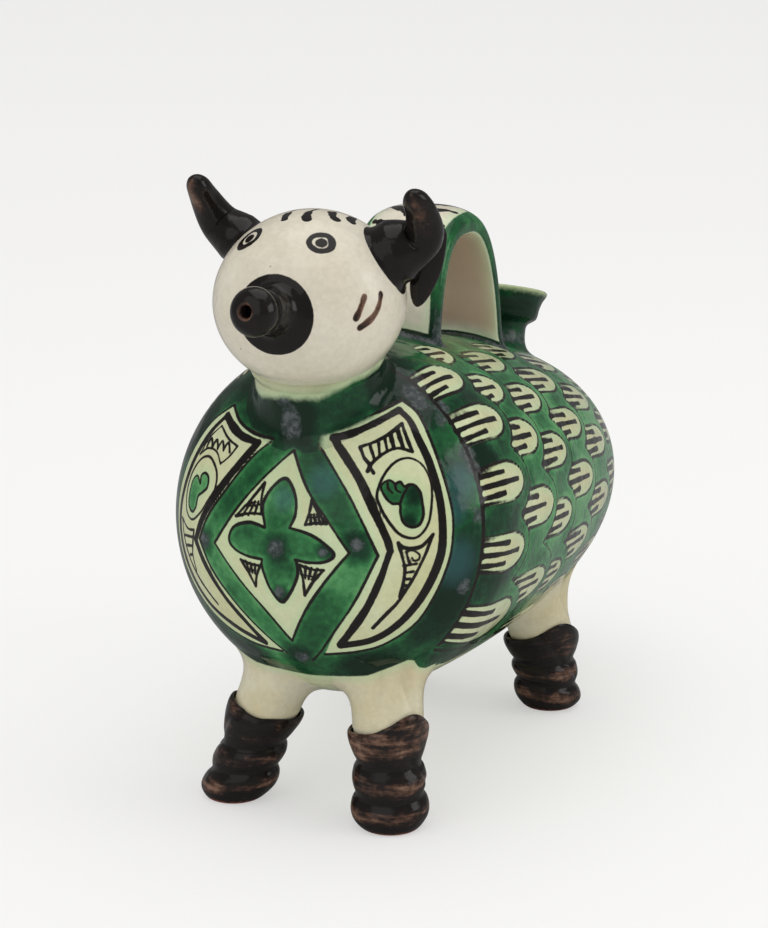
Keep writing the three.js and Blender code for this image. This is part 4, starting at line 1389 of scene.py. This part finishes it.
face_paint = Painting(lay_face)
for side, rise, wide, tall in ((49.1, 58.8, 4.25, 4.2), (-59.5, 55, 4.4, 4.8)):
    eye = lay_eye(side, rise)
    ring = [(wide * math.cos(t) * (1 + 0.05 * math.sin(3 * t)),
             tall * math.sin(t) * (1 + 0.06 * math.cos(2 * t + 1))) for t in turns_of(12)]
    face_paint.stroke(ring, 2.6, closed=True, lay=eye)
    face_paint.stroke([(-0.5, 0.1), (0.1, -0.15), (0.6, 0.1)], 3.7, lay=eye)

face_paint.lines(2.6, [(62, 17.5), (58.2, 13.2), (53.2, 7.6)],
                 [(74.5, 14.5), (70.6, 9.3), (64, 4.3), (54.6, 1.2)])
fringe = [([(-5.7, -53.5, 237.5), (-6.7, -50.5, 238.2), (-7.3, -47, 238.7)], 3.0),
          ([(3.4, -53.1, 237.9), (1.9, -50.5, 238.8), (0.9, -46, 239.5)], 3.4),
          ([(12.4, -46.9, 237.4), (10, -45, 238.3), (8, -41, 239)], 3.4),
          ([(17, -42.7, 236), (15.2, -40.5, 236.6), (14.2, -35.5, 236.8)], 3.4)]
for points, width in fringe:
    face_paint.stroke(points, width, lay=onto_head)
    thin_end = np.array(points[-1]) + (0.8, 6.5, -0.3)
    face_paint.stroke([points[1], points[-1], thin_end], 0.75 * width, taper=True, lay=onto_head)
face_paint.stroke([(-4, 44.5), (-3.6, 44.6)], 0.5)
nose_root = vec(2, -79.84, 208)
face_paint.stroke([nose_root + (-0.6, 0, -1.6), nose_root + (0.1, 0, -1.4)], 27, smooth=False,
                  lay=onto_head)
for side, wide in ((1, 17), (-1, 13)):
    face_paint.stroke([(26 * side, -36, 229), (32 * side, -38, 217.5)], wide, lay=onto_head)
face_paint.stroke([(-20, -42, 235.5), (-24.5, -47.5, 229.5), (-28, -49, 224)], 8, lay=onto_head)

points = placed(bm)
worn = 1.2 * np.clip(1.3 - np.linalg.norm(points - (31.5, -60, 208), axis=1) / 12, 0, 1)
# The head turns greener and darker towards its underside: partly a green tint, partly painted shade.
tinge = 0.55 * np.clip((-(points - head_middle) @ head_up - 12) / 13, 0, 1) ** 1.5
keep(bm, "head", head_glaze, "cream_glaze", "head_shell", ink=face_paint.distance(points),
     worn=worn, tinge=tinge)

# %% [markdown]
# ## The muzzle
# A small nozzle, pulled and pierced: a round bulb with the pouring hole, a waist with the fine
# rings that fingers leave on the wheel, and a root that spreads on the face.

# %% Muzzle
muzzle_way = vec(-0.1115, -0.9785, 0.1736)
muzzle_across = unit(np.cross(muzzle_way, vec(0, 0, 1)))
muzzle_forward = np.cross(-muzzle_way, muzzle_across)
profile = smooth_line([(0, 5), (1.9, 5.6), (2.3, 8), (2.3, 16.4), (2.5, 17.9), (3.3, 18.6), (4.6, 18.4),
                       (6.4, 17.6), (8.0, 16), (9.0, 13.8), (9.2, 11.6), (8.8, 9.2), (8.3, 7.3),
                       (8.4, 5.6)], 6)
ribs = np.where(profile[:, 0] > 5, 0.09, 0) * np.sin(profile[:, 1] * 2 * math.pi / 1.5)
profile[:, 0] += ribs * np.clip(1 - np.abs(profile[:, 1] - 7.5) / 3, 0, 1)
rings, outwards = turned(profile, nose_root, muzzle_across, muzzle_forward, muzzle_way, 96)
foot = fillet(head_growth, rings[-1], -muzzle_way, outwards, 4.6, 16)
bm = ringed(np.concatenate([rings, foot]))
points = placed(bm)
way = (points - nose_root) @ muzzle_way
radius = away_from_axis(points, nose_root, muzzle_way)
rim = np.clip(1.1 - np.abs(radius - 2.9) / 1.1, 0, 0.85) * (way > 15)
# glow: a small painted highlight on the bulb, laid in as the brown of thin glaze
glow = 0.15 * np.clip(1 - np.linalg.norm(points - (11, -92, 210), axis=1) / 4, 0, 1)
keep(bm, "muzzle", horn_glaze, "manganese_glaze", "muzzle_spout", thin=rim + glow)

# %% [markdown]
# ## Swept clay
# Horns, ears, the strap and the tail are rolls or straps carried along a curve. A section in the
# plane square to the curve is placed at even steps along it. A roll that ends in the open closes
# in a round nose, where its rings shrink to a point.

# %% Sweeps
def along_line(points, ways):
    """Points and directions at given shares of a line's length."""
    line = smooth_line(points, 24)
    run = run_along(line)
    run /= run[-1]

    def at(share):
        return np.column_stack([np.interp(share, run, line[:, axis]) for axis in range(3)])

    ahead = unit(at(np.clip(ways + 0.02, 0, 1)) - at(np.clip(ways - 0.02, 0, 1)))
    return at(ways), ahead


def swept(points, ways, side, width, depth, sides, section=None):
    """Rings along a line. width and depth are half sizes along and square to the side vector."""
    middles, ahead = along_line(points, ways)
    wide = unit(side - (ahead @ side)[:, None] * ahead)
    deep = np.cross(ahead, wide)
    turn = turns_of(sides)
    shape = section(turn) if section else np.column_stack([np.cos(turn), np.sin(turn)])
    rings = (middles[:, None] + width[:, None, None] * shape[None, :, :1] * wide[:, None]
             + depth[:, None, None] * shape[None, :, 1:] * deep[:, None])
    return rings, middles, ahead


def rounded(ways, start):
    """How much of its size a roll keeps near its nose."""
    return np.sqrt(np.clip(1 - (np.clip(ways - start, 0, 1) / (1 - start)) ** 2, 0, 1))


# %% [markdown]
# ## Horns and ears
# A horn leaves the head sideways, turns at an elbow, and points forward and up. Its front is
# pressed in with a finger along its length, and the glaze has run off that scoop to a streaky
# brown. The left horn's root swells more than the right one's.

# %% Horns
horn_root = head_middle + HEAD_RADIUS * vec(0.84, 0.13, 0.52)


def horn(side, flare):
    """A horn, and how far its glaze has worn. flare is how much its root swells."""
    line = [horn_root + p for p in (vec(-7, 0, -4), vec(3, 2.2, 1), vec(11.4, 3.4, 6.2),
                               vec(14, -3.65, 15.65), vec(13.5, -13, 25))]
    ways = 0.24 + 0.76 * np.sin(np.linspace(0, math.pi / 2, 80))
    size = (10.2 - 6.1 * ways) * rounded(ways, 0.86)
    size += flare * np.clip((0.5 - ways) / 0.26, 0, 1) ** 1.5
    rings, middles, ahead = swept(line, ways, vec(0, 1, 0), size, size, 72)
    outwards = rings - middles[:, None]
    front = vec(0.25, -1, 0.05)
    facing = (unit(outwards) * unit(front - (ahead @ front)[:, None] * ahead)[:, None]).sum(-1)
    scoop = np.clip(facing, 0, 1) ** 1.6 * np.clip((ways - 0.45) / 0.3, 0, 1)[:, None]
    rings = middles[:, None] + outwards * (1.04 - 0.26 * scoop)[..., None]
    foot = fillet(head_growth, rings[0], -ahead[0], unit(rings[0] - middles[0]), 2.6, 14)
    rings = np.concatenate([foot[::-1], rings])
    scoop = np.concatenate([np.zeros((len(foot), scoop.shape[1])), scoop])
    rings[..., 0] *= side
    bm = ringed(rings)
    return bm, np.clip(0.95 * in_order(bm, scoop), 0, 1)


for side, name, flare in ((1, "left", 3.0), (-1, "right", 0.8)):
    bm, thin = horn(side, flare)
    keep(bm, "horn_" + name, horn_glaze, "manganese_glaze", "horn_" + name, thin=thin)

# %% [markdown]
# The ears hang behind the horns' elbows as thin leaves. Each is swept like a horn, with a flat
# section that tapers to its tip, and is folded a little along its middle.

# %% Ears
EAR_HALF = 5.8  # half its width

for side, name in ((1, "left"), (-1, "right")):
    line = [horn_root + p for p in (vec(11, 8, 7), vec(12, 9.5, 5.5), vec(10.4, 10, -4.95),
                               vec(7.6, 10.7, -14.3), vec(5.8, 11, -22))]
    ways = np.sin(np.linspace(0, math.pi / 2, 60))
    leaf = (1 - np.clip((ways - 0.2) / 0.8, 0, 1) ** 2.6) ** 0.55
    rings, middles, _ = swept(line, ways, vec(1, 0.35, 0), EAR_HALF * leaf, 2.2 * leaf ** 0.7, 48)
    rings[..., 1] += 0.9 * np.abs(rings[..., 0] - middles[:, None, 0]) / EAR_HALF
    rings[0] = middles[0]
    rings[..., 0] *= side
    bm = ringed(rings)
    height = placed(bm)[:, 2]
    keep(bm, "ear_" + name, horn_glaze, "manganese_glaze", "ear_" + name,
         thin=0.42 * np.clip((218 - height) / 8, 0, 1))

# %% [markdown]
# ## The strap handle
# A wide strap, domed outside and flat inside, arches from the withers to the loins. Its section is
# drawn once, in units of its half sizes, and carried along the arch. Both feet run out in fillets.

# %% Strap
HANDLE_MIDDLE, HANDLE_SPAN, HANDLE_RISE = 64.5, 69.0, 46.8
HANDLE_SINK = BELLY_HEIGHT + 42  # where the arch starts, inside the belly
HANDLE_LEAN = 4  # the crown leans this far towards the head
STRAP_HALF = 20.0  # half its width
STRAP_SIDES = 128
ARCH_POINTS = 25


def strap_section(turn):
    wide = np.sign(np.cos(turn)) * np.abs(np.cos(turn)) ** 0.8
    deep = np.where(np.sin(turn) > 0, 0.83 * np.abs(np.sin(turn)) ** 1.05,
                    -0.8 * np.abs(np.sin(turn)) ** 0.42)
    return np.column_stack([wide, deep])


sweep = math.pi * (1 - np.linspace(0, 1, ARCH_POINTS))
swing = np.sign(np.cos(sweep)) * np.abs(np.cos(sweep)) ** 0.78
arch = np.column_stack([
    np.zeros(ARCH_POINTS), HANDLE_MIDDLE + HANDLE_LEAN * (1 - np.sin(sweep)) + HANDLE_SPAN / 2 * swing,
    HANDLE_SINK + (back_height(HANDLE_MIDDLE, 250) + HANDLE_RISE - HANDLE_SINK) * np.sin(sweep) ** 0.86])
ways = np.linspace(0.0, 1, 190)
thick = (12 + 4 * np.sin(math.pi * ways) ** 2) / 2
rings, middles, ahead = swept(arch, ways, vec(-1, 0, 0), np.full(len(ways), STRAP_HALF), thick,
                              STRAP_SIDES, strap_section)
lowest = np.array([np.min(np.linalg.norm(ring - onto_belly(ring), axis=1)
                          * np.where(belly_growth(ring) < 1, 1, -1)) for ring in rings])
shown = np.flatnonzero(lowest > 6.5)
first, last = shown[0], shown[-1]
feet = [fillet(belly_growth, rings[end], way, unit(rings[end] - middles[end]), spread, 16)
        for end, way, spread in ((first, -ahead[first], 4.5), (last, ahead[last], 5.5))]
all_rings = np.concatenate([feet[0][::-1], rings[first:last + 1], feet[1]])
bm = ringed(all_rings)

# %% [markdown]
# The strap's outer face is cream with broad black strokes laid across the crown. A green band runs
# along both edges, dark and metallic where it ran down and pooled. The inner face was only rubbed
# with thin slip, and shows a pinkish brown.

# %% Strap paint
run = run_along(all_rings.mean(axis=1))
section_turn = turns_of(STRAP_SIDES)
points = placed(bm)
order = in_order(bm, np.arange(all_rings.shape[0] * STRAP_SIDES))
way_along, side_at = run[order // STRAP_SIDES], section_turn[order % STRAP_SIDES]
aside, upper = points[:, 0], np.sin(side_at)
crown = run[np.argmax(all_rings.mean(axis=1)[:, 2])]
above_back = np.linalg.norm(points - onto_belly(points), axis=1)


def lay_strap(drawn):
    """From millimetres past the crown and millimetres aside to the strap's outer face."""
    rows = np.interp(crown + drawn[:, 0], run, np.arange(len(run))).round().astype(int)
    outer = all_rings[rows][:, :STRAP_SIDES // 2 + 1]
    outer = np.where(outer[:, :1, :1] > 0, outer[:, ::-1], outer)
    return np.array([[np.interp(aside, line[:, 0], line[:, axis]) for axis in range(3)]
                     for aside, line in zip(drawn[:, 1], outer)])


strap_paint = Painting(lay_strap)
for start in (-34, -23, -11, 0, 10, 21, 33):
    for side in (1, -1):
        leaf = [(start, 1.5 * side), (start + 4, 6 * side), (start + 7.5, 11 * side),
                (start + 9, 15 * side)]
        strap_paint.stroke(leaf[:3], 3.4)
        strap_paint.stroke(leaf[1:], 5.0, taper=True)
edge = 16.2 + 0.5 * np.sin(way_along / 7)
green = np.where(upper > 0, edge - np.abs(aside), np.maximum(edge - np.abs(aside), -upper * 8 - 2.2))
green = np.minimum(green, above_back - 3.4)
low = np.clip(1 - (above_back - 2) / 22, 0, 1)
inside = np.clip((-upper - 0.3) / 0.12, 0, 1) * np.clip((above_back - 5) / 6, 0, 1)
keep(bm, "strap", handle_glaze, "cream_glaze", "handle_strap", ink=strap_paint.distance(points),
     green=green, inside=inside, pool=0.15 + 0.5 * low, metal=0.75 * low * (green < -1.5))

# %% [markdown]
# ## The filling neck
# A thrown cup on a narrow waist. One profile runs up the bore, over the lip and down the outside,
# so lip and wall have the clay's real thickness.

# %% Filling neck
FILLER_HEIGHT = 25.0
filler_rim = vec(0, FILLER_Y, back_height(FILLER_Y, 250)) + FILLER_HEIGHT * filler_up
filler_forward = np.cross(-filler_up, across)
profile = smooth_line([(7.6, 33), (7.8, 24), (8.2, 15), (10.4, 12.2), (13.4, 9), (14.9, 4.5), (15.6, 1.4),
                       (16.4, -0.3), (17.5, -1), (18.5, -0.9), (19.1, -0.1), (18.7, 1.3), (17.4, 3.6),
                       (16.4, 7), (16.0, 9.8), (15.3, 11.6), (13.4, 13), (12.1, 14), (11.5, 15.4),
                       (11.4, 17)], 5)
rings, outwards = turned(profile, filler_rim, across, filler_forward, -filler_up, 112)
foot = fillet(belly_growth, rings[-1], -filler_up, outwards, 8.5, 20)
bm = ringed(np.concatenate([rings, foot]))
points = placed(bm)
below = -((points - filler_rim) @ filler_up)
radius = away_from_axis(points, filler_rim, filler_up)
outer = radius > np.interp(below, [-1, 0, 2, 12, 15, 40], [17.6, 17.3, 17, 14, 9.8, 9.8])
green = np.where(outer, 0.6 - below, np.abs(below) * 0.25 + 0.4)
# The green is darker just under the lip and turns grey metal near the foot.
keep(bm, "filling_neck", filler_glaze, "green_glaze", "filler_neck", green=green,
     pool=0.35 + 0.45 * np.exp(-((below - 9) / 6) ** 2), metal=0.6 * np.exp(-((below - 21) / 4) ** 2))

# %% [markdown]
# ## The tail
# A thin roll laid down the middle of the rump. It ends in a tuft, which is scratched with a comb.

# %% Tail
TAIL_SIDES = 64
TAIL_ROOT_TURN = math.radians(27)  # from the rump's middle up to the root
TAIL_TIP_TURN = -math.radians(11)
points = []
for turn in np.linspace(TAIL_ROOT_TURN, TAIL_TIP_TURN, 9):
    level = BELLY_RADIUS * math.copysign(abs(math.sin(turn)) ** (2 / RUMP_FULLNESS), turn)
    along = BELLY_RING + BELLY_RUMP * math.cos(turn) ** (2 / RUMP_TAPER) + 2.1
    points.append(belly_place(along, 0, level))
ways = (1 - np.cos(np.linspace(0, math.pi, 90))) / 2
size = 4.2 + 1.2 * np.clip(np.sin(math.pi * (ways * 2 - 1)), 0, 1)
size = size * rounded(ways, 0.85) * rounded(1 - ways, 0.93)
rings, middles, _ = swept(points, ways, vec(1, 0, 0), size, size, TAIL_SIDES)
tuft = np.clip((ways - 0.55) / 0.1, 0, 1)[:, None, None]
comb = 0.05 * np.sin(9 * turns_of(TAIL_SIDES))[None, :, None] * tuft
rings = middles[:, None] + (rings - middles[:, None]) * (1 + comb)
bm = ringed(rings)
keep(bm, "tail", horn_glaze, "manganese_glaze", "tail", thin=np.full(len(bm.verts), 0.2))

# %% [markdown]
# ## Legs and boots
# The legs are plain stubs that spread widely under the belly. Each stands in a boot with three
# rolls, whose cuff is drawn up to a point on the outer side, and boot and leg lean alike. The table
# says where each pair stands and how it differs from the others.

# %% Legs
STANCE = {  # side, x, y, out and back for each millimetre down, height of the boot, and how sharp
    # and how worn its cuff is
    "front_left": (1, 32.2, -41.7, 0.07, -0.1, 38.5, 3, 0.2),
    "front_right": (-1, 38.4, -36.6, 0.33, -0.13, 35, 1.7, 0.6),
    "rear_left": (1, 38.3, 117.5, 0.06, 0.18, 33, 3, 0.6),
    "rear_right": (-1, 37.5, 116, 0.08, 0.17, 33, 3, 0.6),
}
backwards = vec(0, 1, 0)


def leg(floor_point, axis, tall):
    """The stub from inside its boot up to its root under the belly."""
    profile = smooth_line([(10.6, tall - 16), (11.4, tall - 9), (12.9, tall - 3), (13.9, tall + 1.2)], 6)
    rings, outwards = turned(profile, floor_point, across, backwards, axis, 104)
    foot = fillet(belly_growth, rings[-1], axis, outwards, 10, 40, early=0.5)
    return ringed(np.concatenate([rings, foot]))


# %% [markdown]
# The boot is formed upright over the origin. Its outline runs from the middle of the sole round the
# three rolls and over the cuff's rim. Then each roll is tilted, the sides are made a little oval
# and get the groove where the clay was joined, and the cuff is drawn up.

# %% Boots
SOLE_TOP = 1.5  # where the lowest roll starts, over the floor
CUFF_PEAK = 8.0  # how far the cuff's point stands over its rim
CUFF_TURN = math.radians(-22)  # the point is turned a little forward
BOOT_SIDES = 120


def boot_outline(tall, rise):
    """Radius and height along the outline. rise is the height of one roll."""
    rolls = [(14.2, 0.26), (14.8, 0.5), (14.4, 0.76), (13.1, 1), (14.2, 1.26), (14.8, 1.5), (14.3, 1.78),
             (13.1, 2), (14.5, 2.28), (15.7, 2.6)]
    sole = [(0, 0.6), (8, 0.3), (9.8, 0.0), (11.2, 0.4), (12.9, 2.2)]
    rim = [(16.0, 2.2), (15.8, 0.8), (15.3, 0.1), (14.8, 0), (14.3, 0.5), (13.8, 2.4), (12.8, 7)]
    return smooth_line(sole + [(radius, SOLE_TOP + share * rise) for radius, share in rolls]
                       + [(radius, tall - down) for radius, down in rim], 6)


def boot(number, side, tall, sharp, cuff_worn):
    """The upright boot's rings, and how far the glaze is worn off its crests."""
    rise = (tall - SOLE_TOP) / 3
    rings, _ = turned(boot_outline(tall, rise), vec(0, 0, 0), across, backwards, vec(0, 0, 1), BOOT_SIDES)
    turn = turns_of(BOOT_SIDES)[None]
    height = rings[..., 2]
    peak = math.atan2(math.sin(CUFF_TURN), side * math.cos(CUFF_TURN))
    start = tall - rise
    in_cuff = np.clip(height - start, 0, None) / rise
    radius = np.hypot(rings[..., 0], rings[..., 1])
    crest = np.clip((radius - 13.6) / 1.4, 0, 1) * (1 - cuff_worn * np.clip(in_cuff * 2, 0, 1))

    tilt = 1.6 * np.clip(height / 8, 0, 1) * np.clip((start - height) / 6, 0, 1)
    roll = np.sin(turn + 1.9 * number) * tilt
    facing = np.clip(np.cos(turn - peak), 0, 1) ** sharp
    front = np.clip(np.cos(turn + 1.3), 0, 1) ** 2
    lifted = height + roll + (CUFF_PEAK * facing + 2.4 * front) * in_cuff

    oval = 1 + 0.04 * np.sin(2 * turn + height / 7 + number) * np.clip(height / 5, 0, 1)
    seam = np.angle(np.exp(1j * (turn - peak + 0.9 * side + side * (height - tall) / 13)))
    groove = 0.045 * np.exp(-(seam / 0.13) ** 2) * np.clip((height - 0.4 * tall) / 4, 0, 1)
    rings[..., :2] *= (oval - groove)[..., None]
    rings[..., 2] = lifted
    return rings, crest


for number, (corner, stance) in enumerate(STANCE.items()):
    side, x, y, out, back, tall, sharp, cuff_worn = stance
    axis = vec(-side * out, -back, 1)
    floor_point = vec(side * x, y, 0)
    bm = leg(floor_point, axis, tall)
    coats = belly_coats(placed(bm), draw_back=0)
    del coats["bloomsheen"]
    if y > 0:
        coats["green"][:] = coats["ink"][:] = FARTHEST  # the rear legs were left bare
    keep(bm, "leg_" + corner, leg_glaze, "cream_glaze", "leg_" + corner, **coats)

    rings, crest = boot(number, side, tall, sharp, cuff_worn)
    bm = ringed(floor_point + rings * (1, 1, 0) + rings[..., 2:] * axis)
    height = placed(bm)[:, 2]
    keep(bm, "boot_" + corner, boot_glaze, "manganese_glaze", "boot_" + corner,
         thin=0.06 + 0.9 * in_order(bm, crest) * np.clip(height / 6, 0.3, 1), bare=height - 1.1)

# %% [markdown]
# ## Finish
# The lesson ends by printing how many pieces were made and how many triangles they have.

# %% Finish
print("pieces:", len(kept), "triangles:", sum(kept))
